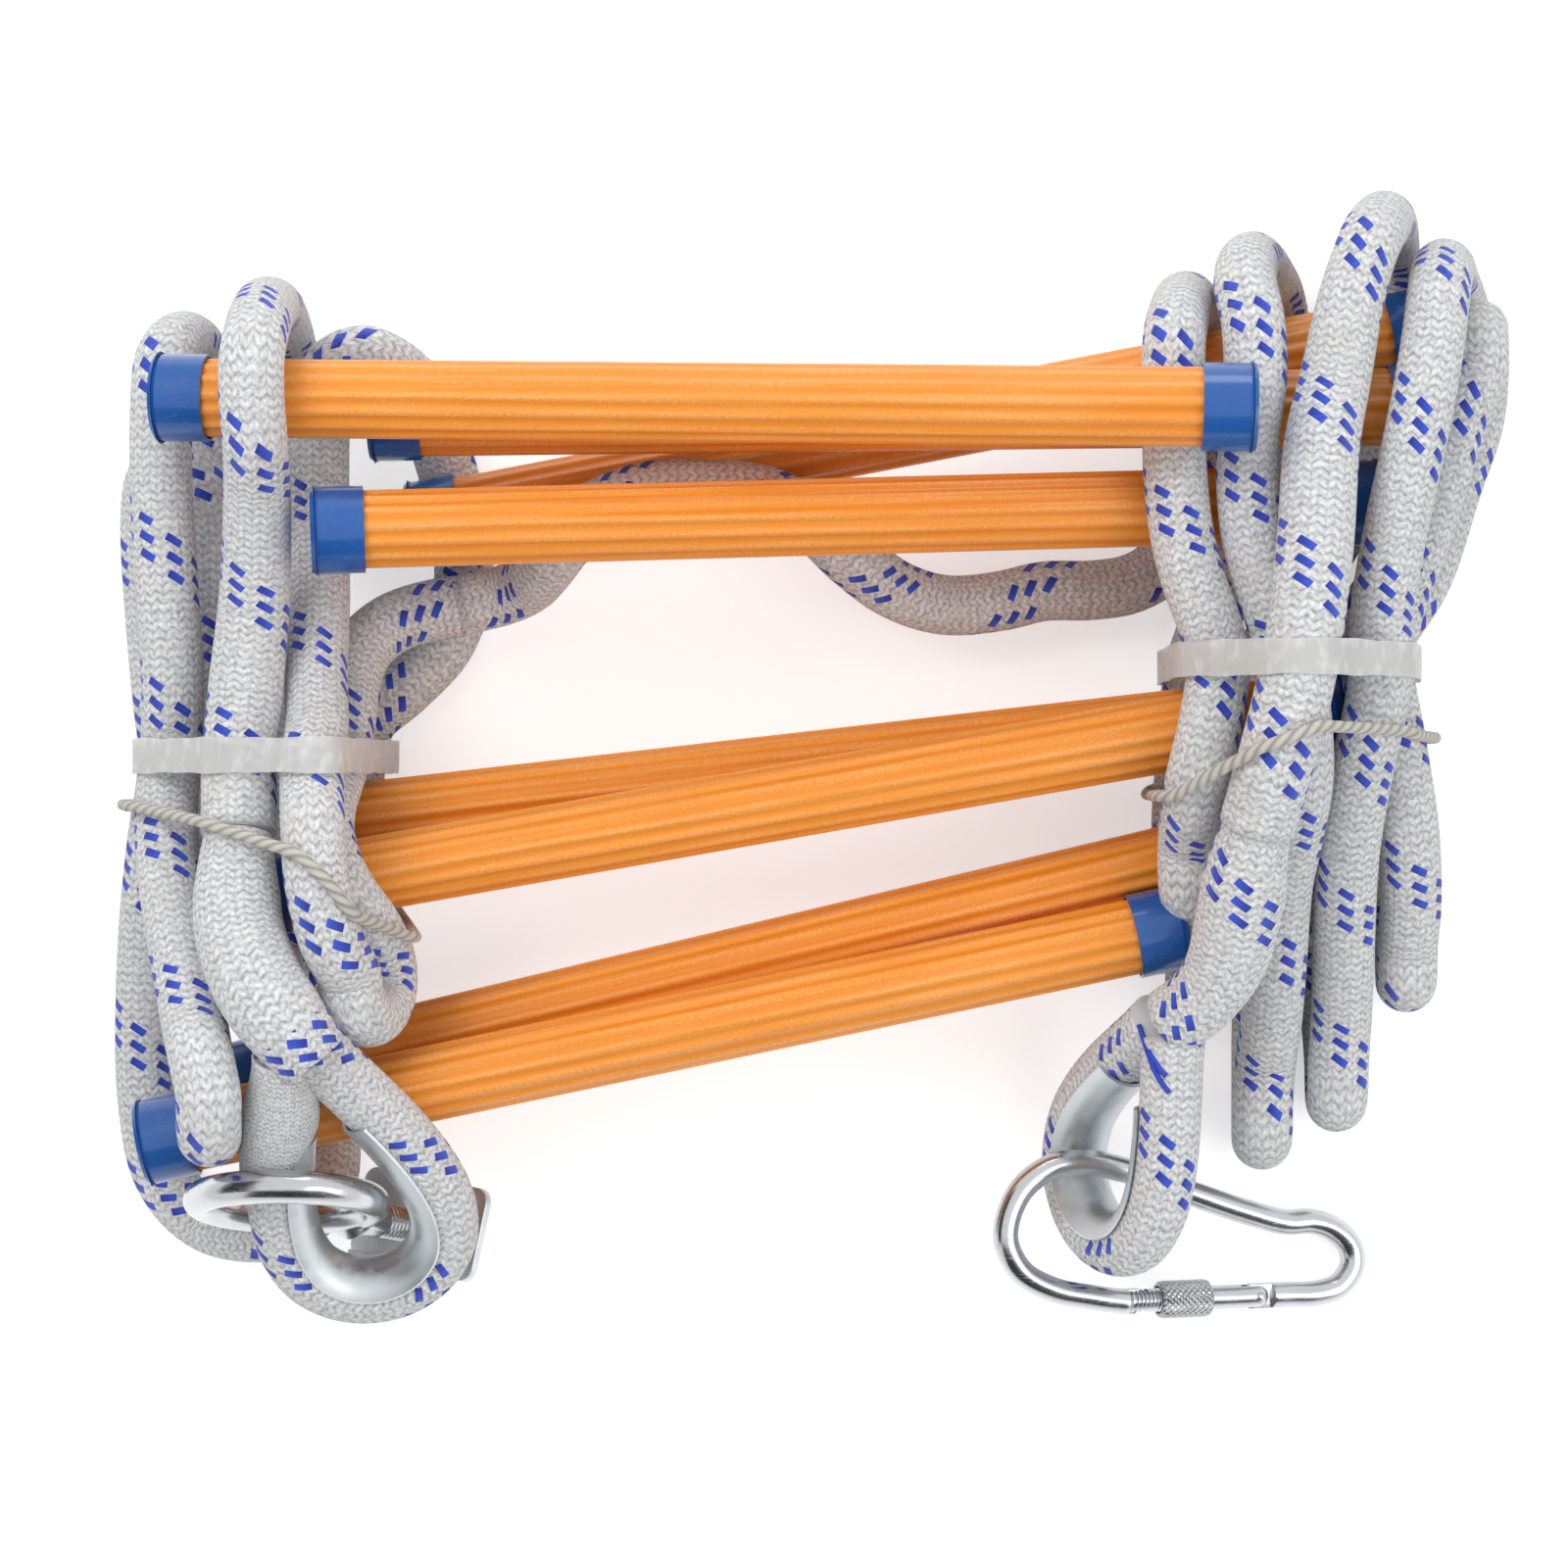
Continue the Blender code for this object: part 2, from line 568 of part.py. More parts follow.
floor = as_cutter(box("below_the_floor", (-400, -400, -40), (400, 400, 0)))
for side, rope, line, radii, tape_at, tie in (
    ("left", left_rope, left_line, left_radii, LEFT_TAPE, LEFT_TIE),
    ("right", right_rope, right_line, right_radii, RIGHT_TAPE, RIGHT_TIE),
):
    held = [(line, radii)]
    level = ((-400, tape_at), (400, tape_at))
    inner = wrap_outline(held, level, TAPE_WIDTH / 2 + 7, GAP, GAP + TAPE_THICKNESS)
    outer = wrap_outline(held, level, TAPE_WIDTH / 2 + 7, GAP + TAPE_THICKNESS, GAP)
    tape_frame = frame_at((0, tape_at, 0), (1, 0, 0), (0, 0, 1))
    flat_outline(f"{side}_tape_band", [outer, inner], TAPE_WIDTH, TAPE, tape_frame)
    notch_top = 2 * GAP + TAPE_THICKNESS
    low = tape_at - TAPE_WIDTH / 2 - GAP
    high = low + TAPE_WIDTH + 2 * GAP
    notch = as_cutter(box(f"{side}_tape_notch", (-400, low, -5), (400, high, notch_top)))
    lowest = GAP + TWINE_RADIUS
    tie = all_moved_out(tie)
    outline = wrap_outline(held, tie, TWINE_RADIUS + 5, GAP + 0.3 + TWINE_RADIUS, lowest)
    flat_tie = np.array(tie)
    heights = np.interp(outline[:, 0], flat_tie[:, 0], flat_tie[:, 1])
    ring = np.stack([outline[:, 0], heights, outline[:, 1]], axis=1)
    ring = np.vstack([ring, ring[:1]])
    count = int(along(ring)[-1] / 8)
    ring = at_places(ring, np.linspace(0, along(ring)[-1], count, endpoint=False))
    tube(f"{side}_twine_tie", ring, TWINE_RADIUS, TWINE, detail=1, closed=True)
    groove = tube(f"{side}_twine_groove", ring, TWINE_RADIUS + 0.5, None, detail=1, closed=True)
    as_cutter(groove)
    print(side, "twine tie: length", round(along(ring)[-1]), "mm")
    cut(rope, floor)
    cut(rope, notch)
    cut(rope, groove)
    mesh = mesh_of(rope)
    add_mesh(f"{side}_rope_hank", mesh, ROPE, smooth=50)


# Eyes: a rope loop round a thimble, its end buried in the splice

EYE_LEG = (
    (EYE_RADIUS, 0.0),
    (EYE_RADIUS - 1.5, 16.0),
    (EYE_RADIUS - 7.0, 35.0),
    (14.5, 50.0),
    (9.0, 63.0),
    (5.0, 74.0),
)
THIMBLE_TOP = 50.0


def eye_frame(centre, along_plan, tilt, roll):
    """Local Y points to the throat, tilted up; local X points across, rolled about Y."""
    plan = np.array([along_plan[0], along_plan[1], 0.0])
    plan /= np.linalg.norm(plan)
    up = np.array([0, 0, 1.0])
    long = plan * math.cos(math.radians(tilt)) + up * math.sin(math.radians(tilt))
    level = np.cross(plan, up)
    normal = np.cross(level, long)
    wide = level * math.cos(math.radians(roll)) + normal * math.sin(math.radians(roll))
    return frame_at(centre, wide, long)


def section_of_thimble():
    """A bent strip round the rope, open to the outside, as (x, y) about the rope's middle."""
    inner = ROPE_RADIUS + THIMBLE_CLEARANCE
    angles = np.radians(np.linspace(-THIMBLE_SPREAD, THIMBLE_SPREAD, 7))
    near = [(-inner * math.cos(a), inner * math.sin(a)) for a in angles]
    outer = inner + THIMBLE_WALL
    far = [(-outer * math.cos(a), outer * math.sin(a)) for a in angles[::-1]]
    return near + far


def eye(side, matrix, stretch, splice_route, splice_radii):
    bottom = [math.radians(angle) for angle in (-150, -120, -90, -60, -30)]
    points = [(-x, y * stretch, 0.0) for x, y in EYE_LEG[::-1]]
    points += [(EYE_RADIUS * math.cos(turn), EYE_RADIUS * math.sin(turn), 0.0) for turn in bottom]
    points += [(x, y * stretch, 0.0) for x, y in EYE_LEG]
    flat = smooth_line(np.array(points))
    loop = fewer_points(flat, 8.0, 14.0)
    world = [np.array(matrix @ (Vector(p) * MM)) / MM for p in loop]
    eye_rope = tube(f"{side}_eye_splice", world, ROPE_RADIUS, ROPE)
    route = smooth_line(np.array(all_moved_out(splice_route), float))
    line = fewer_points(route, 10.0, 16.0)
    radii = np.interp(along(line), np.linspace(0, along(line)[-1], len(splice_radii)), splice_radii)
    body = as_cutter(tube(f"{side}_splice_body", line, radii, None))
    cut(eye_rope, body, "UNION", crosses_itself=True)
    add_mesh(f"{side}_eye_splice", mesh_of(eye_rope), ROPE, smooth=50)
    kept = [p for p in loop if p[1] < THIMBLE_TOP * stretch]
    path = spline_object(f"{side}_thimble", kept, [1.0] * len(kept), False)
    section = bpy.data.curves.new(f"{side}_thimble_section", "CURVE")
    section.dimensions = "2D"
    outline = section.splines.new("POLY")
    points = section_of_thimble()
    outline.points.add(len(points) - 1)
    for point, (x, y) in zip(outline.points, points):
        point.co = (x * MM, y * MM, 0, 1)
    outline.use_cyclic_u = True
    shape = bpy.data.objects.new(f"{side}_thimble_section", section)
    cutters.objects.link(shape)
    shape.hide_render = True
    path.data.twist_mode = "Z_UP"
    path.data.bevel_mode = "OBJECT"
    path.data.bevel_object = shape
    made = add_mesh(f"{side}_thimble", mesh_of(path), GALVANISED, smooth=40)
    made.matrix_world = matrix
    bpy.data.objects.remove(shape)


LEFT_EYE_AT = (-150.4, -159.2, 76.5)
RIGHT_EYE_AT = (109.7, -143.3, 40.0)
LEFT_SPLICE = (
    (-191, -25, 100.3), (-191, -37, 104.5), (-189, -56.5, 111), (-182, -74, 117), (-173, -86.5, 119),
    (-163.5, -99, 117),
)
RIGHT_SPLICE = (
    (151, -22, 107), (148.5, -34, 102.5), (146.5, -50.5, 96), (142.5, -69, 88), (134.5, -82, 80),
    (126, -89, 73),
)
left_eye = eye_frame(moved_out(LEFT_EYE_AT), (-0.29, 0.957), 28.0, 0.0)
right_eye = eye_frame(moved_out(RIGHT_EYE_AT), (0.284, 0.959), 29.0, 56.0)
eye("left", left_eye, 1.0, LEFT_SPLICE, (12.8, 14.6, 15.2, 15.0, 12.5))
eye("right", right_eye, 0.82, RIGHT_SPLICE, (12.8, 14.6, 14.3, 12.5, 12.0))


# Eye bolt on the left eye, through an anchor plate

BOLT_AT = (-177.3, -150.6, 81.4)
BOLT_TILT = 51.0
PLATE_TURN = 15.0
RING_LEAN = 17.0
lean = math.radians(RING_LEAN)
dip = math.radians(BOLT_TILT)
shank_way = (math.cos(dip), -math.sin(dip) * math.sin(lean), -math.sin(dip) * math.cos(lean))
ring_normal = Vector((0, math.cos(lean), -math.sin(lean)))
bolt_frame = frame_at(moved_out(BOLT_AT), shank_way, ring_normal.cross(Vector(shank_way)))
shank_frame = bolt_frame @ Matrix.Rotation(math.radians(90), 4, "Y")

bpy.ops.mesh.primitive_torus_add(
    major_radius=BOLT_RING_RADIUS * MM,
    minor_radius=BOLT_WIRE_RADIUS * MM,
    major_segments=36,
    minor_segments=10,
)
ring = bpy.context.object
ring.name = "bolt_ring"
for home in list(ring.users_collection):
    home.objects.unlink(ring)
parts.objects.link(ring)
ring.matrix_world = bolt_frame
profile = [(0, BOLT_REACH), (THREAD_RADIUS - 1.2, BOLT_REACH)]
height = BOLT_REACH - 1.2
while height > THREAD_START:
    profile.append((THREAD_RADIUS, height))
    profile.append((THREAD_RADIUS - THREAD_DEPTH, height - THREAD_PITCH / 2))
    height -= THREAD_PITCH
profile.append((THREAD_RADIUS + 0.6, THREAD_START - 3))
profile.append((THREAD_RADIUS + 0.6, BOLT_RING_RADIUS + 2))
profile.append((THREAD_RADIUS - 1.5, BOLT_RING_RADIUS - 2))
profile.append((0, BOLT_RING_RADIUS - 2))
shank = as_cutter(turned("bolt_shank", profile, 14, None, shank_frame))
cut(ring, shank, "UNION")
made = add_mesh("eye_bolt", mesh_of(ring), ZINC, smooth=35)
made.data.transform(bolt_frame.inverted())
made.matrix_world = bolt_frame

PLATE_LOW = (PLATE_AT, -32.0, -15.0)
PLATE_HIGH = (PLATE_AT + PLATE_THICKNESS, 31.0, 18.0)
plate_frame = bolt_frame @ Matrix.Rotation(math.radians(PLATE_TURN), 4, "X")
PLATE_LIP = 6.0
plate = box("anchor_plate", PLATE_LOW, PLATE_HIGH, GALVANISED, plate_frame)
lip_high = (PLATE_AT + PLATE_THICKNESS - 0.5, PLATE_HIGH[1] - 6, PLATE_LOW[2] + 2.5)
lip_low = (PLATE_AT - PLATE_LIP, PLATE_LOW[1] + 26, PLATE_LOW[2])
lip = as_cutter(box("plate_lip", lip_low, lip_high, None, plate_frame))
hole_turn = Matrix.Rotation(math.radians(90), 4, "Y")
hole = as_cutter(
    cylinder("plate_hole", PLATE_HOLE_RADIUS, PLATE_AT - 10, PLATE_AT + 10, 24, None, bolt_frame, hole_turn)
)
corners = plate.modifiers.new("corners", "BEVEL")
corners.width = 5.5 * MM
corners.segments = 3
corners.limit_method = "WEIGHT"
weights = plate.data.attributes.new("bevel_weight_edge", "FLOAT", "EDGE")
for edge in plate.data.edges:
    ends = [plate.data.vertices[k].co for k in edge.vertices]
    weights.data[edge.index].value = 1.0 if abs(ends[0].x - ends[1].x) > 0.5 * MM else 0.0
cut(plate, lip, "UNION")
cut(plate, hole)

washer_top = PLATE_AT + PLATE_THICKNESS + GAP
washer_profile = (
    (PLATE_HOLE_RADIUS, washer_top),
    (PLATE_HOLE_RADIUS, washer_top + WASHER_THICKNESS),
    (WASHER_RADIUS, washer_top + WASHER_THICKNESS),
    (WASHER_RADIUS, washer_top),
)
turned("bolt_washer", washer_profile, 24, ZINC, shank_frame)
nut_low = washer_top + WASHER_THICKNESS + GAP
nut_radius = NUT_ACROSS / 2 / math.cos(math.pi / 6)
nut = cylinder("bolt_nut", nut_radius, nut_low, nut_low + NUT_HEIGHT, 6, ZINC, shank_frame)
nut_bore_radius = THREAD_RADIUS + 0.4
bore = cylinder("nut_bore", nut_bore_radius, nut_low - 2, nut_low + 14, 20, None, shank_frame)
as_cutter(bore)
cut(nut, bore)


# Carabiner on the right eye, drawn flat in its own frame

CARABINER_AT = (107.7, -168.0, 31.4)
CARABINER_TILT = 16.0
BODY_ROUTE = (
    (11.6, -23.9),
    (8.2, -23.9),
    (6.0, -23.9),
    (-7.4, -21.7),
    (-20.4, -18.7),
    (-32.6, -11.7),
    (-38.4, 0.6),
    (-33.3, 16.1),
    (-21.5, 24.7),
    (-7.4, 26.0),
    (7.5, 22.5),
    (31.5, 14.0),
    (52.8, 6.6),
    (68.8, 2.2),
    (78.8, 2.2),
    (87.3, -0.6),
    (93.9, -6.8),
    (95.1, -14.0),
    (90.0, -21.3),
    (80.8, -23.9),
    (68.8, -23.9),
    (62.7, -23.9),
    (58.1, -23.9),
    (53.9, -23.9),
)
slope = math.radians(CARABINER_TILT)
# The wire lies against the inner side of the thimble, so it keeps to it when the eye is resized
carabiner_at = np.array(moved_out(CARABINER_AT)) - (EYE_RADIUS - EYE_AS_MEASURED, 0, 0)
carabiner_frame = frame_at(carabiner_at, (math.cos(slope), 0, -math.sin(slope)), (0, 1, 0))
pin_x, pin_y = GATE_PIN_AT
gate_frame = carabiner_frame @ Matrix.Translation(Vector((pin_x, pin_y, 0)) * MM)
tongue_half = TONGUE_THICKNESS / 2

route = fewer_points(smooth_line(np.array([(x, y, 0.0) for x, y in BODY_ROUTE])), 3.0, 12.0)
body = tube("carabiner_body", route, WIRE_RADIUS, ZINC, detail=3, matrix=carabiner_frame)
shoulder = pin_x + 5.6
nose_shoulder = GATE_NOSE_AT - 0.4
for name, low_x, high_x, middle_y in (
    ("hinge", pin_x - 8, shoulder, pin_y),
    ("nose", nose_shoulder, nose_shoulder + 12, pin_y),
):
    for side, low_z, high_z in (("upper", tongue_half, 8), ("lower", -8, -tongue_half)):
        tool = box(
            f"{name}_{side}_cut",
            (low_x, middle_y - 7, low_z),
            (high_x, middle_y + 7, high_z),
            None,
            carabiner_frame,
        )
        cut(body, as_cutter(tool))
pin_hole = as_cutter(cylinder("pin_hole", PIN_RADIUS + GAP, -10, 10, 14, None, gate_frame))
cut(body, pin_hole)

gate_length = pin_x - GATE_NOSE_AT
gate_profile = [(0, gate_length), (GATE_RADIUS - 0.5, gate_length), (GATE_RADIUS, gate_length - 0.6)]
height = gate_length - 1.6
while height > gate_length - 11:
    gate_profile.append((GATE_RADIUS - 0.45, height))
    gate_profile.append((GATE_RADIUS, height - 0.75))
    height -= 1.5
for angle in (0, 22.5, 45, 67.5):
    turn = math.radians(angle)
    gate_profile.append((GATE_RADIUS * math.cos(turn), -GATE_RADIUS * math.sin(turn)))
gate_profile.append((0, -GATE_RADIUS))
along_gate = gate_frame @ Matrix.Rotation(math.radians(-90), 4, "Y")
gate = turned("carabiner_gate", gate_profile, 16, ZINC, along_gate)
slot_half = tongue_half + 0.4
slots = (
    ("gate_hinge_slot", (-6.5, -8, -slot_half), (8, 8, slot_half)),
    ("gate_nose_slot", (-gate_length - 4, -8, -slot_half), (-gate_length + 7.5, 8, slot_half)),
)
for name, low, high in slots:
    cut(gate, as_cutter(box(name, low, high, None, gate_frame)))
bore_turn = Matrix.Rotation(math.radians(90), 4, "Y")
BORE_RADIUS = 2.2
BORE_END = -28.0
bore = as_cutter(cylinder("gate_bore", BORE_RADIUS, BORE_END, -5, 14, None, gate_frame, bore_turn))
cut(gate, bore)
cut(gate, pin_hole)
cylinder("gate_pin", PIN_RADIUS, -GATE_RADIUS, GATE_RADIUS, 14, ZINC, gate_frame)
plunger_turn = Matrix.Rotation(math.radians(90), 4, "Y")
cylinder("gate_plunger", BORE_RADIUS - 0.4, -13, -7.0, 12, ZINC, gate_frame, plunger_turn)
SPRING_TURNS = 7
coil = []
for k in range(SPRING_TURNS * 8 + 1):
    turn = 2 * math.pi * k / 8
    coil.append((-14.0 - 13.0 * k / (SPRING_TURNS * 8), 1.45 * math.cos(turn), 1.45 * math.sin(turn)))
tube("gate_spring", coil, 0.4, ZINC, detail=1, matrix=gate_frame)

sleeve_frame = carabiner_frame @ Matrix.Translation(Vector((SLEEVE_AT, pin_y, 0)) * MM)
sleeve_turn = sleeve_frame @ Matrix.Rotation(math.radians(90), 4, "Y")
knurl = []
for k in range(48):
    turn = 2 * math.pi * k / 48
    radius = SLEEVE_RADIUS - (0.35 if k % 2 else 0.0)
    knurl.append((radius * math.cos(turn), radius * math.sin(turn)))
flat_outline(
    "lock_sleeve",
    [knurl, ring_outline(WIRE_RADIUS + 0.4, 20)],
    SLEEVE_LENGTH,
    ZINC,
    sleeve_turn,
)

swing_axis = bpy.data.objects.new("carabiner_swing_axis", None)
parts.objects.link(swing_axis)
swing_axis.matrix_world = carabiner_frame @ Matrix.Translation(Vector((*SWING_AT, 0)) * MM)
for name in ("carabiner_body", "gate_pin", "carabiner_gate", "gate_plunger", "gate_spring", "lock_sleeve"):
    piece = bpy.data.objects[name]
    piece.parent = swing_axis
    piece.matrix_parent_inverse = swing_axis.matrix_world.inverted()
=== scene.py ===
# %% [markdown]
# # A folded rope ladder, dressed for its picture
#
# The ladder's solids are already made and packed. This script loads them as a fixed
# frame and puts finer pieces and finishes over them: braided rope, ribbed resin rungs,
# moulded caps, zinc hardware, tape and twine. Every place below is in millimetres, as in
# the workshop, and becomes metres with MM.

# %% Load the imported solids
import math

import bmesh
import bpy
import numpy as np
from mathutils import Matrix, Vector


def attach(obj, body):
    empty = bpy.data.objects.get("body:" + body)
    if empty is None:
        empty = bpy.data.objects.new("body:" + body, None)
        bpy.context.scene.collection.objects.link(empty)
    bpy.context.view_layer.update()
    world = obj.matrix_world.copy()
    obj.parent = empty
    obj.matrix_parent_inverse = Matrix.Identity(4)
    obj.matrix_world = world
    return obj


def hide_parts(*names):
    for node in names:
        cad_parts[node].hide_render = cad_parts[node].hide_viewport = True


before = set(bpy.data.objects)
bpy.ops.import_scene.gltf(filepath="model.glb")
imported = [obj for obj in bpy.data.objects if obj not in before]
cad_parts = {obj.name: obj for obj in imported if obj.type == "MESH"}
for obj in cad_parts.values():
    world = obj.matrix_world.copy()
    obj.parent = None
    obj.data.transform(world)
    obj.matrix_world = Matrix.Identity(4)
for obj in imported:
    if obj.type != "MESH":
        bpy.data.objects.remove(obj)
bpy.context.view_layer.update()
MM = 0.001

# %% [markdown]
# ## Small helpers
#
# An operator acts on all that is selected, so one helper selects a single thing first.
# The others add an object, apply a modifier, clean and shade a mesh, and dress a piece:
# that gives it its finish, puts it under its body and hides the solid it stands for.


# %% Helpers for objects, meshes and finished pieces
def select_only(thing=None):
    """Selects this thing alone and makes it active, or deselects everything."""
    bpy.ops.object.select_all(action="DESELECT")
    if thing is not None:
        thing.select_set(True)
        bpy.context.view_layer.objects.active = thing


def new_object(name, data):
    thing = bpy.data.objects.new(name, data)
    bpy.context.scene.collection.objects.link(thing)
    return thing


def apply_step(thing, kind, **settings):
    """Adds a modifier with these settings and applies it."""
    step = thing.modifiers.new("step", kind)
    for name, value in settings.items():
        setattr(step, name, value)
    select_only(thing)
    bpy.ops.object.modifier_apply(modifier="step")


def shade(thing, angle):
    """Smooth shading, with edges that bend more than this angle kept crisp."""
    thing.data.shade_smooth()
    thing.data.set_sharp_from_angle(angle=math.radians(angle))


def finish_mesh(thing, angle):
    """Merges doubles, turns faces outwards and shades by angle."""
    shape = bmesh.new()
    shape.from_mesh(thing.data)
    bmesh.ops.remove_doubles(shape, verts=shape.verts, dist=0.000002)
    bmesh.ops.recalc_face_normals(shape, faces=shape.faces)
    shape.to_mesh(thing.data)
    shape.free()
    shade(thing, angle)


def dress(thing, body, slot, look, *nodes):
    """The last step of a piece: its material, body and replaced solids. The slot is not used."""
    thing.data.materials.clear()
    thing.data.materials.append(look)
    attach(thing, body)
    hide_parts(*nodes)
    print(thing.name, len(thing.data.polygons), "faces")


# %% [markdown]
# ## Camera
#
# The bundle was photographed from straight above. A camera 1.3 m over the floor with a
# slightly long lens gives the same gentle perspective, so high ropes look a little
# larger than the ones on the floor. The lens follows from the size of one pixel there.

# %% Camera straight above the bundle
CAMERA_AT = (-7.4, -7.5, 1300.0)
PIXEL = 0.3575
PHOTO_SIZE = 1600
SENSOR_WIDTH = 36.0
camera_data = bpy.data.cameras.new("camera")
camera_data.sensor_width = SENSOR_WIDTH
camera_data.lens = SENSOR_WIDTH * CAMERA_AT[2] / (PHOTO_SIZE * PIXEL)
camera = new_object("camera", camera_data)
camera.location = Vector(CAMERA_AT) * MM
bpy.context.scene.camera = camera
bpy.context.scene.view_settings.view_transform = "Standard"
print("lens", round(camera_data.lens, 1), "mm")

# %% [markdown]
# ## Writing shader maths as plain expressions
#
# A finish is a sum of small patterns. Wiring each Math node by hand is slow to read, so
# one small class wraps a socket: adding or multiplying two of them adds the node. Any
# other node comes from one method, which takes its settings and inputs.


# %% Values that add their own nodes
def maths(operation, backwards=False):
    """A method that adds one Math node, with the Value first unless it goes backwards."""

    def method(value, *others):
        inputs = (*others, value) if backwards else (value, *others)
        settings = {"operation": operation}
        return value.nodes.node("ShaderNodeMath", settings, dict(enumerate(inputs)))

    return method


class Value:
    """A number that changes over a surface. Arithmetic on it adds Math nodes."""

    def __init__(self, nodes, socket):
        self.nodes = nodes
        self.socket = socket

    __add__ = __radd__ = maths("ADD")
    __mul__ = __rmul__ = maths("MULTIPLY")
    __sub__ = maths("SUBTRACT")
    __rsub__ = maths("SUBTRACT", backwards=True)
    above = maths("GREATER_THAN")
    below = maths("LESS_THAN")
    least = maths("MINIMUM")
    most = maths("MAXIMUM")
    sine = maths("SINE")
    cosine = maths("COSINE")
    size = maths("ABSOLUTE")
    share = maths("FRACT")
    floor = maths("FLOOR")
    power = maths("POWER")

    def clipped(self):
        return self.most(0.0).least(1.0)


# %% Nodes of a material or of the world
class Nodes:
    """A node tree. node() adds any node and plug() fills any socket."""

    def __init__(self, tree):
        self.tree = tree

    def plug(self, socket, value):
        """Links a Value to the socket, or writes a plain number or colour into it."""
        if isinstance(value, Value):
            self.tree.links.new(value.socket, socket)
        else:
            socket.default_value = value

    def node(self, kind, settings=None, inputs=None, output=0):
        made = self.tree.nodes.new(kind)
        for name, value in (settings or {}).items():
            setattr(made, name, value)
        for name, value in (inputs or {}).items():
            self.plug(made.inputs[name], value)
        return Value(self, made.outputs[output])

    def seen_rays(self):
        """1 where the camera looks, directly, in a mirror or through film, else 0."""
        kinds = ("Is Camera Ray", "Is Glossy Ray", "Is Transmission Ray")
        direct, mirrored, through = (self.node("ShaderNodeLightPath", output=k) for k in kinds)
        return (direct + mirrored + through).clipped()


class Finish(Nodes):
    """One material. feed() fills its shader; mix() blends two colours by a value."""

    def __init__(self, name, **inputs):
        self.material = bpy.data.materials.new(name)
        self.material.use_nodes = True
        super().__init__(self.material.node_tree)
        self.shader = self.tree.nodes["Principled BSDF"]
        for name, value in inputs.items():
            self.feed(name.replace("_", " ").title(), value)

    def feed(self, name, value):
        self.plug(self.shader.inputs[name], value)

    def uv(self):
        """Around the piece as 0 to 1, along it in metres, and both as one place."""
        spot = self.node("ShaderNodeUVMap", {"uv_map": "along"})
        around, run = (self.node("ShaderNodeSeparateXYZ", None, {0: spot}, k) for k in (0, 1))
        return around, run, spot

    def stretched(self, where, scale, turn=0.0):
        """A place stretched along its axes, then turned about Z."""
        inputs = {"Vector": where, "Scale": scale, "Rotation": (0, 0, turn)}
        return self.node("ShaderNodeMapping", None, inputs)

    def place(self, scale=(1, 1, 1)):
        return self.stretched(self.node("ShaderNodeTexCoord", output="Object"), scale)

    def noise(self, where, scale, detail=3.0, rough=0.5):
        inputs = {"Vector": where, "Scale": scale, "Detail": detail, "Roughness": rough}
        return self.node("ShaderNodeTexNoise", None, inputs)

    def mix(self, amount, first, second):
        """A colour between first and second. Either may be a colour or a Value."""
        inputs = {0: amount, 6: first, 7: second}
        return self.node("ShaderNodeMix", {"data_type": "RGBA"}, inputs, 2)

    def look(self, colour, roughness, height, depth_mm, strength):
        """Feeds colour, roughness and a bump of some depth, and gives the material."""
        inputs = {"Height": height, "Distance": depth_mm * MM, "Strength": strength}
        self.feed("Base Color", colour)
        self.feed("Roughness", roughness)
        self.feed("Normal", self.node("ShaderNodeBump", None, inputs))
        return self.material


def rgb(red, green, blue):
    """A screen colour, 0 to 255, as the linear colour that a shader takes."""
    linear = [((c / 255 + 0.055) / 1.055) ** 2.4 for c in (red, green, blue)]
    return (*linear, 1.0)


# %% [markdown]
# ## The ropes' lines
#
# Each side rope is folded up and down into a hank. Its middle line is a list of points
# chosen against the photograph, with a half turn written as its reach. A smooth curve
# runs through them. The same lines made the solids, so the braid lies exactly there.

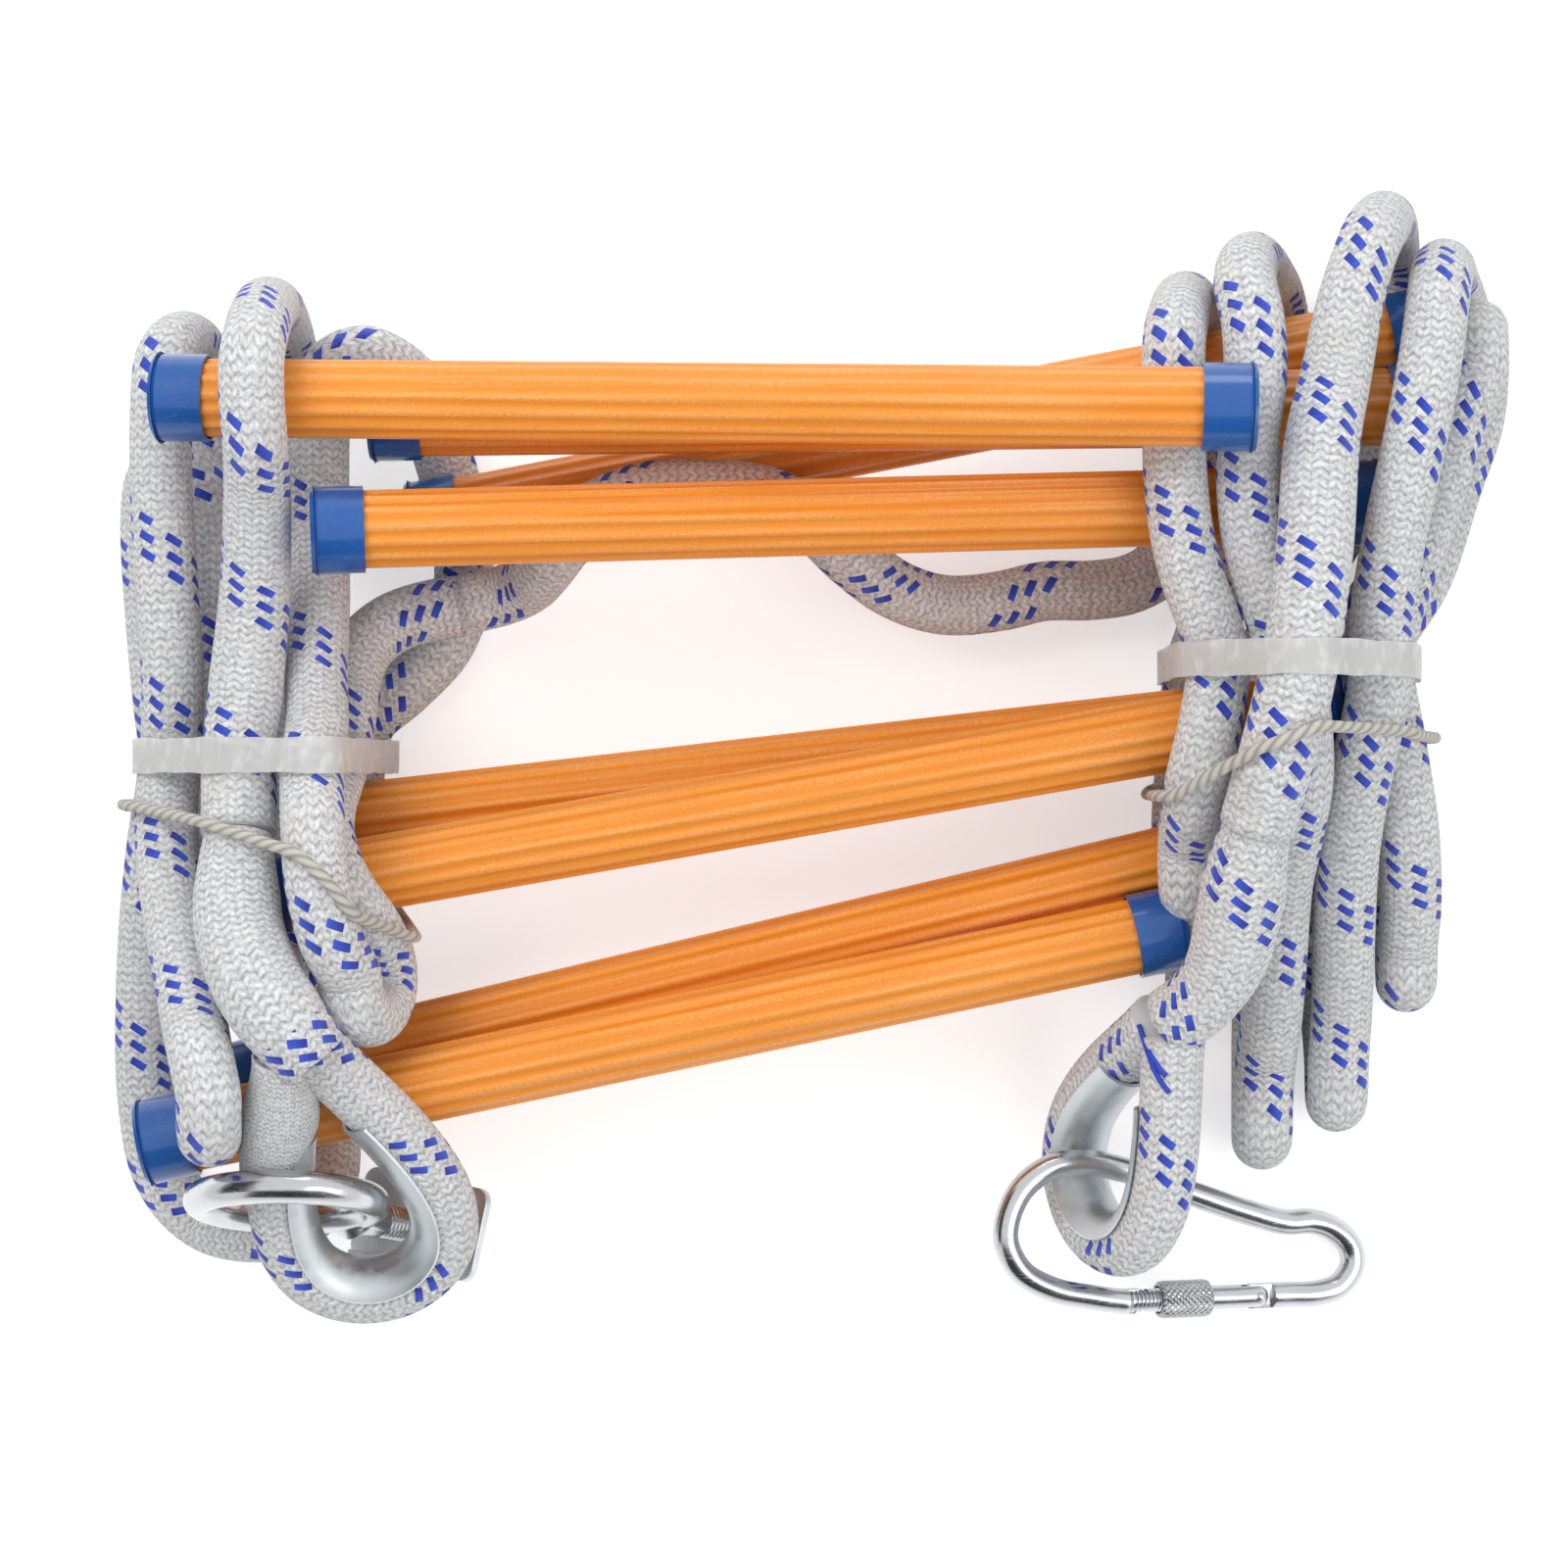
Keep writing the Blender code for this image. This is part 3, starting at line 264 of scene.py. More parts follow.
# %% Points of the two hanks and the run between them
ROPE_RADIUS = 10.8
SPLICED_RADIUS = 12.8
FLOOR_LEVEL = 8.64
LEFT_ROPE = (
    (-191, -24, 100), (-191.5, -12.5, 96.3), (-192, -1, 92.5), (-190.5, 26, 87), (-187, 59, 90),
    (-184, 91, 106), (-182.5, 107.5, 121.5), (-183, 120, 125), (-183, 133, 124.5),
    (-183, 143, 114), (-184, 152.5, 92), (-185.5, 157.5, 66), (-187, 158.5, 38), (-187, 151.5, 16),
    (-184, 131, 8.8), (-184, 63.5, 8.8), (-184, 35, 8.8), (-184.5, 17.5, 8.8), (-185.5, 1.5, 8.8),
    (-185.5, -29, 8.8), (-184, -57, 8.8), (-181, -82, 8.8), (-177, -107, 8.8),
    (-173.5, -124.5, 8.8), (-171, -137.5, 14), (-172, -153, 26), (-181, -163.5, 27),
    (-197, -168.5, 19), (-217.5, -165.5, 8.8), (-232, -149.5, 8.8), (-238, -121, 8.8),
    (-238.5, -78.5, 8.8), (-235.5, -36, 8.8), (-230.5, 1.5, 8.8), (-232.5, 22.5, 8.8),
    (-235.5, 56.5, 8.8), (-237, 85, 8.8), (-235, 101, 12), (-227, 107.5, 23), (-216, 100, 33),
    (-211, 84.5, 36), (-210.5, 48, 36), (-208.5, 1, 35), (-211, -28.5, 40), (-211, -59, 57),
    (-210, -85, 73), (-206.5, -98, 84), (-203.5, -106, 92), (-201.5, -113.5, 94.5), -12.8,
    (-198, -111, 119.8), (-200.5, -100, 117.5), (-205, -88, 107), (-208, -77, 100.5),
    (-211.5, -64, 94), (-218, -37.5, 80), (-221, -17.5, 68), (-220.5, 1, 62), (-219, 26.5, 66),
    (-220.5, 60, 69), (-222.5, 94, 69), (-222.5, 121, 69), (-222, 138, 64), (-220, 147.5, 48),
    (-217.5, 148, 28), (-214.5, 138, 14), (-210.5, 122, 8.8), (-207.5, 92, 8.8),
    (-206.5, 56.5, 8.8), (-207, 22.5, 8.8), (-208, 1.5, 8.8), (-209, -18, 8.8), (-208.5, -36, 14),
    (-203.5, -53, 26), (-195.5, -66.5, 33), (-186.5, -75, 34.5), (-176, -76, 34.5),
    (-167, -68.5, 33), (-162.5, -55, 25), (-162, -39.5, 12), (-162.5, -21.5, 8.8),
    (-162.5, 1.5, 8.8), (-158.5, 15.5, 8.8), (-144.5, 28, 8.8), (-130, 44, 8.8),
    (-123.5, 65.5, 8.8), (-126, 92, 8.8), (-132, 116, 15), (-137, 131, 24), (-147, 141, 31),
    (-157, 144.5, 36), (-166, 140.5, 38), (-171, 129.5, 38), (-172, 117.5, 38), (-171.5, 82.5, 43),
    (-169.5, 54, 58), (-168.5, 29.5, 73), (-166.5, 12, 86), (-166.5, 1, 98), (-165, -12.5, 110),
    (-163.5, -23.5, 118.5), (-162, -40, 120.5), (-158, -58.5, 116.5), (-153, -72, 106), -13,
    (-143.5, -74, 80.5), (-144.5, -66, 82.5), (-148.5, -55.5, 89.6), (-155, -45.5, 95.3),
    (-161, -34, 95.2), (-164, -24, 90), (-164.5, -15, 81), (-163.5, -7, 70), (-162.5, 1, 58.5),
    (-161.5, 15, 48), (-161, 27, 41), (-157, 40, 36.5), (-147.5, 49, 34), (-134, 54, 33),
    (-119, 56.5, 32),
)
RIGHT_ROPE = (
    (151, -21.5, 107.5), (153.5, -10, 112.5), (156, 1, 117.5), (163, 31.5, 120.6),
    (169, 70.5, 115), (173, 107.5, 106), (178, 128, 100), (184.5, 158, 97), (191, 175.5, 90),
    (198.5, 186, 70), (205.5, 189, 42), (210.5, 182, 18), (212.5, 159.5, 8.8), (209, 124, 8.8),
    (197, 92, 8.8), (181, 63.5, 8.8), (166, 35, 8.8), (163.5, 6.5, 8.8), (170, -29, 8.8),
    (184.5, -61, 8.8), (190.5, -92.5, 8.8), (192, -110, 8.8), -12.6, (189.5, -108, 33.8),
    (190, -87.5, 38), (189, -62.5, 50), (188, -31.5, 66), (190.5, -1, 81), (193.5, 16, 87),
    (195.5, 32.5, 90), (195.5, 49, 90), (200, 79, 92), (204.5, 102, 95), (208.5, 122, 95.5),
    (212.5, 142, 92), (216, 159.5, 84), (221.5, 171, 62), (228.5, 171.5, 34), (237, 160.5, 12),
    (237.5, 134.5, 8.8), (230.5, 102.5, 8.8), (217, 74, 8.8), (204, 54.5, 11), (192.5, 35, 8.8),
    (190.5, 6.5, 8.8), (203, -21.5, 8.8), (212.5, -43, 8.8), (217.5, -66.5, 8.8), -12.6,
    (214, -65.5, 34), (213.5, -49, 44), (210.5, -24.5, 56), (205, 6, 62), (200.5, 33.5, 63),
    (204, 53.5, 63), (214, 81, 64), (222, 108, 65), (227.5, 125, 65), (233, 136, 63), 14,
    (239, 139.5, 35), (237.5, 121.5, 34), (229.5, 97, 33), (219, 65.5, 33), (200.5, 34.5, 33),
    (197.5, 3, 33), (188.5, -25, 33), (177.5, -44, 33), (168.5, -61.5, 30), (165.5, -81.5, 17),
    (165.5, -101.5, 8.8), (165.5, -123.5, 8.8), -12.8, (162.5, -121, 34.2), (163.5, -106.5, 34.8),
    (164.5, -90.5, 43), (164.5, -71, 54), (165, -43, 65), (167, -24.5, 77), (168, -7.5, 91),
    (167.5, 5.5, 95.9), (165.5, 25.5, 95.9), (161.5, 42, 94), (156, 59, 94), (151, 78.5, 94),
    (149.5, 108.5, 94.5), (152, 130, 94.5), (151.5, 148.5, 93), (150, 163, 84), (154.5, 173.5, 62),
    (162.5, 174, 34), (170, 166.5, 14), (173, 148.5, 8.8), (172, 127.5, 8.8), (165, 95.5, 8.8),
    (152, 63.5, 8.8), (141.5, 35, 8.8), (138.5, 6.5, 8.8), (136.5, -25.5, 8.8), (139, -53.5, 8.8),
    (141.5, -70, 8.8), -12.4, (139, -69, 33.5), (137.5, -61, 47), (135.5, -52, 57.5),
    (132.5, -41.5, 70), (132, -27.5, 74), (132, -9, 92), (136.5, 12.5, 96), (139.5, 32.5, 94),
    (137, 45.5, 94), (131, 62, 94), (127, 78.5, 94), (125, 98.5, 93.6), (124.5, 125, 93.5),
    (125, 142, 90), (129.5, 156, 70), (135, 162.5, 42), (141, 159, 19), (144, 141.5, 8.8),
    (142.5, 124, 8.8), (139.5, 106.5, 10.3), (136, 94.5, 13),
)
BOTTOM_RUN = (
    (-118, 57, 32), (-108, 59.5, 31.3), (-99, 63, 35), (-92, 68.5, 45.5), (-85, 76, 57),
    (-76.5, 84.5, 64), (-56.5, 93.5, 63.7), (-34.5, 94.5, 62.7), (-16, 93, 59.5), (1, 86, 52),
    (17, 72, 42), (32.5, 61.5, 32), (50.5, 56.5, 25), (70, 58, 24), (85.5, 61.5, 24),
    (103.5, 62, 22), (117.5, 64.5, 20), (128, 71, 17.7), (133, 82.5, 15.3), (135.5, 93.5, 13.2),
)
print("points:", len(LEFT_ROPE), len(RIGHT_ROPE), len(BOTTOM_RUN))


# %% Curves through those points
def with_half_turns(route):
    """The route with each lone number, a reach along Y, made points of a half turn."""
    points = []
    for k, place in enumerate(route):
        if isinstance(place, tuple):
            points.append(np.array(place, float))
            continue
        start = np.array(route[k - 1], float)
        middle = (start + np.array(route[k + 1], float)) / 2
        for angle in (30, 60, 90, 120, 150):
            turn = math.radians(angle)
            point = middle + (start - middle) * math.cos(turn)
            point[1] += place * math.sin(turn)
            points.append(point)
    return np.array(points)


def between(at, low, high, first, last):
    return ((high - at) * first + (at - low) * last) / (high - low)


def smooth_line(points, dense=12):
    """A smooth curve through the points, close together along it."""
    ends = (2 * points[:1] - points[1:2], points, 2 * points[-1:] - points[-2:-1])
    knots = np.vstack(ends)
    line = []
    for k in range(1, len(knots) - 2):
        p = knots[k - 1 : k + 3]
        gaps = np.sqrt(np.linalg.norm(np.diff(p, axis=0), axis=1))
        t = np.concatenate([[0], np.cumsum(gaps)])
        for share in range(dense):
            at = t[1] + (t[2] - t[1]) * share / dense
            a = [between(at, t[i], t[i + 1], p[i], p[i + 1]) for i in range(3)]
            b = [between(at, t[i], t[i + 2], a[i], a[i + 1]) for i in range(2)]
            line.append(between(at, t[1], t[2], b[0], b[1]))
    line.append(points[-1])
    return np.array(line)


def along(line):
    """How far along the line each of its points lies."""
    return np.concatenate([[0], np.cumsum(np.linalg.norm(np.diff(line, axis=0), axis=1))])


def every(line, step):
    """The line again, with a point about every step."""
    length = along(line)
    places = np.linspace(0, length[-1], max(2, int(length[-1] / step)) + 1)
    return np.stack([np.interp(places, length, line[:, k]) for k in range(3)], axis=1)


def rope_line(route):
    line = smooth_line(with_half_turns(route))
    line[:, 2] = np.maximum(line[:, 2], FLOOR_LEVEL)
    return line


CORD_STEP = 3.0
left_line = every(rope_line(LEFT_ROPE), CORD_STEP)
right_line = every(rope_line(RIGHT_ROPE), CORD_STEP)
run_line = every(smooth_line(np.array(BOTTOM_RUN, float)), CORD_STEP)
for name, line in (("left", left_line), ("right", right_line), ("run", run_line)):
    print(name, "rope", round(along(line)[-1]), "mm")

# %% [markdown]
# ## Braid
#
# The real ropes are white braid: wavy rows of small stitches, and a blue yarn that winds
# round the rope and shows in slanted dashes, three to a column. The stitches are far too
# many to model, so the tube is smooth and the finish draws them from its UV map, with
# painted highlight on their crests and painted shade in the grooves between them.

# %% Braid finish
STRAND_WIDTH = 9.7
TRACER_ROWS = 9
DASH_LENGTH = 6.0
DASH_WIDTH = 2.7
LEAN_COS, LEAN_SIN = 0.84, 0.54


def braid(name, strands=7, rise_mm=6.2, rows=3, ring=None):
    """Stitches with painted highlight and shade, and a blue yarn in dashes with a painted sheen,
    wound round or as one ring of them.
    """
    finish = Finish(name, sheen_weight=0.2)
    around, run, spot = finish.uv()
    column = around * strands
    wave = ((column * 2).share() * 2 - 1).size()
    row = run * (2000.0 / rise_mm) + wave * 0.55
    crest = (row * math.pi).sine().size().power(0.7)
    gap = (wave * math.pi).sine().size().power(0.5)
    in_mm = finish.stretched(spot, (strands * STRAND_WIDTH, 1000, 1))
    grain = finish.noise(in_mm, 0.75, 5.0, 0.65)
    lump = finish.noise(in_mm, 0.3, 3.0)
    height = crest * (gap * 0.3 + 0.3) + (grain - 0.5) * 2.0 + (lump - 0.5) * 0.9 + 0.16
    dirt = finish.noise(finish.place(), 38.0, 4.0)
    # Painted highlight and shade: stitch crests lighter, grooves and gaps between them darker, mixed
    # with the fibres' grain; random dirt patches go over that.
    light = finish.mix(height.clipped(), rgb(164, 166, 170), rgb(255, 255, 255))
    soiled_and_shaded = finish.mix(((dirt - 0.55) * 3).clipped() * 0.35, light, rgb(218, 208, 198))
    # The blue yarn climbs one whole turn in nine rows, and shows in only some of them
    step = run * (1000.0 / rise_mm)
    if ring is None:
        step = step + column.floor() * (TRACER_ROWS / strands)
        shown = (step * (1 / TRACER_ROWS)).share().below(rows / TRACER_ROWS)
    else:
        shown = run.above(ring[0] * MM) * run.below(ring[1] * MM)
    sideways = (column.share() - 0.5) * STRAND_WIDTH
    ahead = (step.share() - 0.5) * rise_mm
    length = (sideways * LEAN_COS - ahead * LEAN_SIN).size().below(DASH_LENGTH / 2)
    width = (sideways * LEAN_SIN + ahead * LEAN_COS).size().below(DASH_WIDTH / 2)
    dash = shown * length * width
    # Painted sheen: each dash is lighter towards one side of its strand, mottled by the grain.
    shine = (sideways * 0.16 + 0.5 + (grain - 0.5) * 0.8).clipped()
    blue = finish.mix(shine, rgb(34, 50, 160), rgb(66, 98, 226))
    colour = finish.mix(dash, soiled_and_shaded, blue)
    return finish.look(colour, 0.78 + grain * 0.18, height + dash * 0.3, 0.55, 0.9)


rope_finish = braid("braided_rope_look")
print("braid:", len(rope_finish.node_tree.nodes), "nodes")

# %% [markdown]
# ## A tube that remembers where it is
#
# The braid follows the rope, so each point of the tube keeps how far round and how far
# along it lies, in a UV map. The rings turn with the line without twisting, which keeps
# the braid's columns straight. Where a rope rests on the floor it is pressed flat.


# %% Tube along a line
def skin(name, grid, run=None, round_section=True, joined=False):
    """A piece whose faces join the neighbours of a grid of (section, point) places.

    Both ends are capped, unless the last section is joined to the first. The run says
    how far along each section lies, for the UV map that the finishes read.
    """
    sections, count = grid.shape[:2]
    steps = count if round_section else count - 1
    faces = []
    uvs = []
    for section in range(sections if joined else sections - 1):
        here, ahead = section * count, (section + 1) % sections * count
        low, high = (0, 0) if run is None else run[section : section + 2] * MM
        for k in range(steps):
            beside = (k + 1) % count
            faces.append((here + k, here + beside, ahead + beside, ahead + k))
            left, right = k / steps, (k + 1) / steps
            uvs += [(left, low), (right, low), (right, high), (left, high)]
    if not joined:
        faces.append(tuple(range(count))[::-1])
        faces.append(tuple((sections - 1) * count + k for k in range(count)))
        uvs += [(0.5, 0.0)] * count + [(0.5, high)] * count
    mesh = bpy.data.meshes.new(name)
    mesh.from_pydata(grid.reshape(-1, 3) * MM, [], faces)
    if run is not None:
        layer = mesh.uv_layers.new(name="along")
        layer.data.foreach_set("uv", np.array(uvs, np.float32).ravel())
    mesh.shade_smooth()
    return new_object(name, mesh)


def ring_frames(line):
    """Two directions across the line at each point, carried along without twist."""
    forward = np.gradient(line, axis=0)
    forward /= np.linalg.norm(forward, axis=1)[:, None]
    side = np.cross(forward[0], (0.3, 0.2, 1.0))
    sides = []
    for way in forward:
        side = side - way * side.dot(way)
        side = side / np.linalg.norm(side)
        sides.append(side)
    sides = np.array(sides)
    return sides, np.cross(forward, sides)


def tube(name, line, radii, around=28, closed=False, lowest=0.05):
    """A tube along the line, closed into a ring or capped, and flat on the floor."""
    length = along(np.vstack([line, line[:1]]) if closed else line)
    radii = np.broadcast_to(np.array(radii, float), (len(line),))
    first, second = ring_frames(line)
    turn = np.linspace(0, 2 * math.pi, around, endpoint=False)[:, None]
    spokes = first[:, None] * np.cos(turn) + second[:, None] * np.sin(turn)
    points = line[:, None] + spokes * radii[:, None, None]
    if lowest is not None:
        points[:, :, 2] = np.maximum(points[:, :, 2], lowest)
    return skin(name, points, length, joined=closed)


def thick_radii(line, start, end):
    """The spliced rope's radius before start, thinning to the plain rope's at end."""
    share = np.clip((along(line) - start) / (end - start), 0, 1)
    return SPLICED_RADIUS + (ROPE_RADIUS - SPLICED_RADIUS) * share


left_radii = thick_radii(left_line, 50.0, 140.0)
right_radii = thick_radii(right_line, 130.0, 200.0)
longer_run = np.vstack(
    [run_line[0] * 3 - run_line[1] * 2, run_line, run_line[-1] * 3 - run_line[-2] * 2]
)
left_rope = tube("left_hank_braid", left_line, left_radii)
right_rope = tube("right_hank_braid", right_line, right_radii)
run_rope = tube("bottom_run_braid", longer_run, ROPE_RADIUS - 0.1)
for piece, node, line, lay in (
    (left_rope, "left_rope_hank", left_line, "coiled"),
    (right_rope, "right_rope_hank", right_line, "coiled"),
    (run_rope, "bottom_rope_run", run_line, "loose"),
):
    dress(piece, "bundle", "braided_rope", rope_finish, node)

# %% [markdown]
# ## The two eyes
#
# Each rope ends in a loop round a steel thimble. Its end is tucked back into the rope,
# which makes the throat thick, and the throat is covered by a tight smooth braid. The
# loop is flat, so it is drawn in a frame of its own and then turned into place.

# %% Frames and lines of the eyes
EYE_RADIUS = 27.5
EYE_LEG = ((EYE_RADIUS, 0.0), (26.0, 16.0), (20.5, 35.0), (14.5, 50.0), (9.0, 63.0), (5.0, 74.0))
THIMBLE_TOP = 50.0
LEFT_DASHES = (72.0, 88.8)
LEFT_EYE_AT, RIGHT_EYE_AT = (-150.4, -159.2, 76.5), (109.7, -143.3, 40.0)
LEFT_WAY, RIGHT_WAY = (-0.29, 0.957), (0.284, 0.959)
LEFT_TURNS, RIGHT_TURNS = (28.0, 0.0), (29.0, 56.0)
LEFT_STRETCH, RIGHT_STRETCH = 1.0, 0.82
LEFT_RADII, RIGHT_RADII = (12.8, 14.6, 15.2, 15.0, 12.5), (12.8, 14.6, 14.3, 12.5, 12.0)
COVER_START = 11.6
COVER_GROWS = 0.14
LEFT_SPLICE = (
    (-191, -25, 100.3), (-191, -37, 104.5), (-189, -56.5, 111), (-182, -74, 117),
    (-173, -86.5, 119), (-163.5, -99, 117),
)
RIGHT_SPLICE = (
    (151, -22, 107), (148.5, -34, 102.5), (146.5, -50.5, 96), (142.5, -69, 88),
    (134.5, -82, 80), (126, -89, 73),
)


def frame_at(origin, x_axis, y_axis):
    """The matrix of a frame with this origin, X axis and, nearly, Y axis."""
    x_axis = Vector(x_axis).normalized()
    z_axis = x_axis.cross(Vector(y_axis)).normalized()
    y_axis = z_axis.cross(x_axis)
    turn = Matrix((x_axis, y_axis, z_axis)).transposed().to_4x4()
    return Matrix.Translation(Vector(origin) * MM) @ turn


def eye_frame(centre, along_plan, tilt, roll):
    """Local Y points to the throat, tilted up; local X points across, rolled about Y."""
    plan = np.array([along_plan[0], along_plan[1], 0.0])
    plan /= np.linalg.norm(plan)
    up = np.array([0, 0, 1.0])
    tilt, roll = math.radians(tilt), math.radians(roll)
    long = plan * math.cos(tilt) + up * math.sin(tilt)
    level = np.cross(plan, up)
    wide = level * math.cos(roll) + np.cross(level, long) * math.sin(roll)
    return frame_at(centre, wide, long)


def eye_line(stretch):
    """The loop in its own frame: down one leg, round the bottom and up the other."""
    bottom = [math.radians(angle) for angle in (-150, -120, -90, -60, -30)]
    points = [(-x, y * stretch, 0.0) for x, y in EYE_LEG[::-1]]
    points += [(EYE_RADIUS * math.cos(a), EYE_RADIUS * math.sin(a), 0.0) for a in bottom]
    points += [(x, y * stretch, 0.0) for x, y in EYE_LEG]
    return every(smooth_line(np.array(points)), 2.5)


def in_place(line, matrix):
    return np.array([matrix @ (Vector(p) * MM) for p in line]) / MM


left_eye = eye_frame(LEFT_EYE_AT, LEFT_WAY, *LEFT_TURNS)
right_eye = eye_frame(RIGHT_EYE_AT, RIGHT_WAY, *RIGHT_TURNS)
print("eyes at", LEFT_EYE_AT, RIGHT_EYE_AT)

# %% Loops and throats
covers = {
    "left": braid("left_cover_look", 8, 5.6, ring=LEFT_DASHES),
    "right": braid("right_cover_look", 8, 6.0),
}
for side, matrix, stretch, route, radii in (
    ("left", left_eye, LEFT_STRETCH, LEFT_SPLICE, LEFT_RADII),
    ("right", right_eye, RIGHT_STRETCH, RIGHT_SPLICE, RIGHT_RADII),
):
    line = in_place(eye_line(stretch), matrix)
    loop = tube(f"{side}_eye_loop", line, ROPE_RADIUS)
    cover_line = every(smooth_line(np.array(route, float)), 2.0)
    run = along(cover_line)
    thick = np.interp(run, np.linspace(0, run[-1], len(radii)), radii)
    thick = np.minimum(thick, COVER_START + COVER_GROWS * run)
    cover = tube(f"{side}_throat_cover", cover_line, thick, 40)
    dress(loop, "bundle", "braided_rope", rope_finish, f"{side}_eye_splice")
    dress(cover, "bundle", "braided_rope", covers[side], f"{side}_eye_splice")
    print(side, "eye loop", round(along(line)[-1]), "mm round")

# %% [markdown]
# ## The left fan and the right floats
#
# At the left throat the cover fans out down one leg and ends in a slanted edge. A second
# tube round that leg does it, cut by a slanted plane. At the right throat the blue yarn
# floats over the crotch, so it is laid on the rope where the camera sees it.

# %% Fan on the left leg
FAN_FROM = 22.0
FAN_HEIGHTS = (30, 54, 74)
FAN_RADII = (12.8, 13.0, 10.2)
FAN_EDGE_AT = (-17.9, 35.6, 0)
FAN_EDGE_NORMAL = (-0.546, 0.838, 0)


def bisect(thing, at, normal, **settings):
    """Cuts the whole mesh along a plane."""
    select_only(thing)
    bpy.ops.object.mode_set(mode="EDIT")
    bpy.ops.mesh.select_all(action="SELECT")
    bpy.ops.mesh.bisect(plane_co=Vector(at) * MM, plane_no=normal, **settings)
    bpy.ops.object.mode_set(mode="OBJECT")


leg = eye_line(LEFT_STRETCH)
leg = leg[(leg[:, 0] < 0) & (leg[:, 1] > FAN_FROM)]
fan_radii = np.interp(leg[:, 1], FAN_HEIGHTS, FAN_RADII)
fan = tube("left_throat_fan", leg, fan_radii, 48, lowest=None)
bisect(fan, FAN_EDGE_AT, FAN_EDGE_NORMAL, clear_inner=True, use_fill=True)
fan.data.transform(left_eye)
dress(fan, "bundle", "braided_rope", braid("fan_look", 16, 3.4, rows=0), "left_eye_splice")

# %% Floats on the right throat
FLOAT_LIFT = 0.3
LONG_FLOAT = ((1162, 1046), (1166, 1058), (1172, 1076), (1178, 1092), (1186, 1106), (1193, 1115))
SHORT_FLOAT = ((1172, 1072), (1179, 1084), (1185, 1093), (1190, 1098))


def seen_at(pieces, across, down):
    """The point of these pieces that the camera sees at a pixel of the photograph."""
    eye = Vector(CAMERA_AT)
    half = PHOTO_SIZE / 2
    ground = Vector((eye.x + (across - half) * PIXEL, eye.y + (half - down) * PIXEL, 0))
    way = (ground - eye).normalized()
    hits = [piece.ray_cast(eye * MM, way) for piece in pieces]
    places = [hit[1] for hit in hits if hit[0]]
    return max(places, key=lambda place: place.z) / MM


yarn = Finish("blue_yarn_look")
thread = yarn.noise(yarn.stretched(yarn.uv()[2], (9, 300, 1)), 2.0, 4.0)
yarn_finish = yarn.look(yarn.mix(thread, rgb(24, 34, 140), rgb(66, 98, 226)), 0.7, thread, 0.3, 0.8)
bpy.context.view_layer.update()
throat = [bpy.data.objects["right_eye_loop"], bpy.data.objects["right_throat_cover"]]
for name, pixels in (("right_float_long", LONG_FLOAT), ("right_float_short", SHORT_FLOAT)):
    line = np.array([seen_at(throat, *pixel) for pixel in pixels])
    line[:, 2] += FLOAT_LIFT
    piece = tube(name, every(smooth_line(line), 1.0), 1.0, 10)
    dress(piece, "bundle", "braided_rope", yarn_finish, "right_eye_splice")

# %% [markdown]
# ## Thimbles
#
# A thimble is a strip of galvanised steel, bent to a trough that keeps the rope from
# chafing. Its section is an arc a little wider than the rope, with rounded lips, and it
# is carried round the inner side of the loop and stops where the legs meet.


# %% Trough along a flat line
def trough(name, line, inner, wall, spread, matrix, steps=14):
    """A thick arc of this half spread, in degrees, on the inner side of a flat line."""
    angles = np.radians(np.linspace(-spread, spread, steps))
    lip = math.radians(3)
    outer = inner + wall
    edge = (outer + inner) / 2
    turns = np.concatenate([angles, [angles[-1] + lip], angles[::-1], [angles[0] - lip]])
    radii = np.array([inner] * steps + [edge] + [outer] * steps + [edge])
    way = np.gradient(line, axis=0)
    way /= np.linalg.norm(way, axis=1)[:, None]
    inward = np.stack([-way[:, 1], way[:, 0], 0 * way[:, 0]], axis=1)
    points = line[:, None] + inward[:, None] * (radii * np.cos(turns))[:, None]
    points[:, :, 2] += radii * np.sin(turns)
    thing = skin(name, points)
    finish_mesh(thing, 40)
    thing.data.transform(matrix)
    return thing


# %% Galvanised finish and both thimbles
THIMBLE_GAP = 0.6
THIMBLE_WALL = 1.3
THIMBLE_SPREAD = 72.0


def galvanised():
    """Grey zinc with the patches of its crystals, dull where it was handled."""
    finish = Finish("galvanised_look", metallic=1.0)
    spot = finish.place()
    patch = finish.node("ShaderNodeTexVoronoi", None, {"Vector": spot, "Scale": 260.0}, 1)
    grey = finish.node("ShaderNodeSeparateColor", None, {0: patch}, 0)
    cloud = finish.noise(spot, 90.0, 5.0)
    fine = finish.noise(spot, 900.0, 3.0)
    tone = finish.mix(grey * 0.35 + cloud * 0.65, rgb(194, 202, 207), rgb(230, 234, 236))
    return finish.look(tone, 0.3 + grey * 0.12 + cloud * 0.18, fine * 0.5 + cloud, 0.12, 0.5)


galvanised_finish = galvanised()
inner = ROPE_RADIUS + THIMBLE_GAP
for side, matrix, stretch in (("left", left_eye, LEFT_STRETCH), ("right", right_eye, RIGHT_STRETCH)):
    line = eye_line(stretch)
    line = line[line[:, 1] < THIMBLE_TOP * stretch - 2]
    piece = trough(f"{side}_thimble_steel", line, inner, THIMBLE_WALL, THIMBLE_SPREAD, matrix)
    dress(piece, "bundle", "satin_zinc", galvanised_finish, f"{side}_thimble")

# %% [markdown]
# ## Rungs
#
# A rung is a pultruded resin tube with ribs along it for grip. One is modelled: a
# cylinder with many sides, whose side points are pulled in between the ribs. The ribs
# come from the shape and their fibres from the finish. Then it is copied to each place.

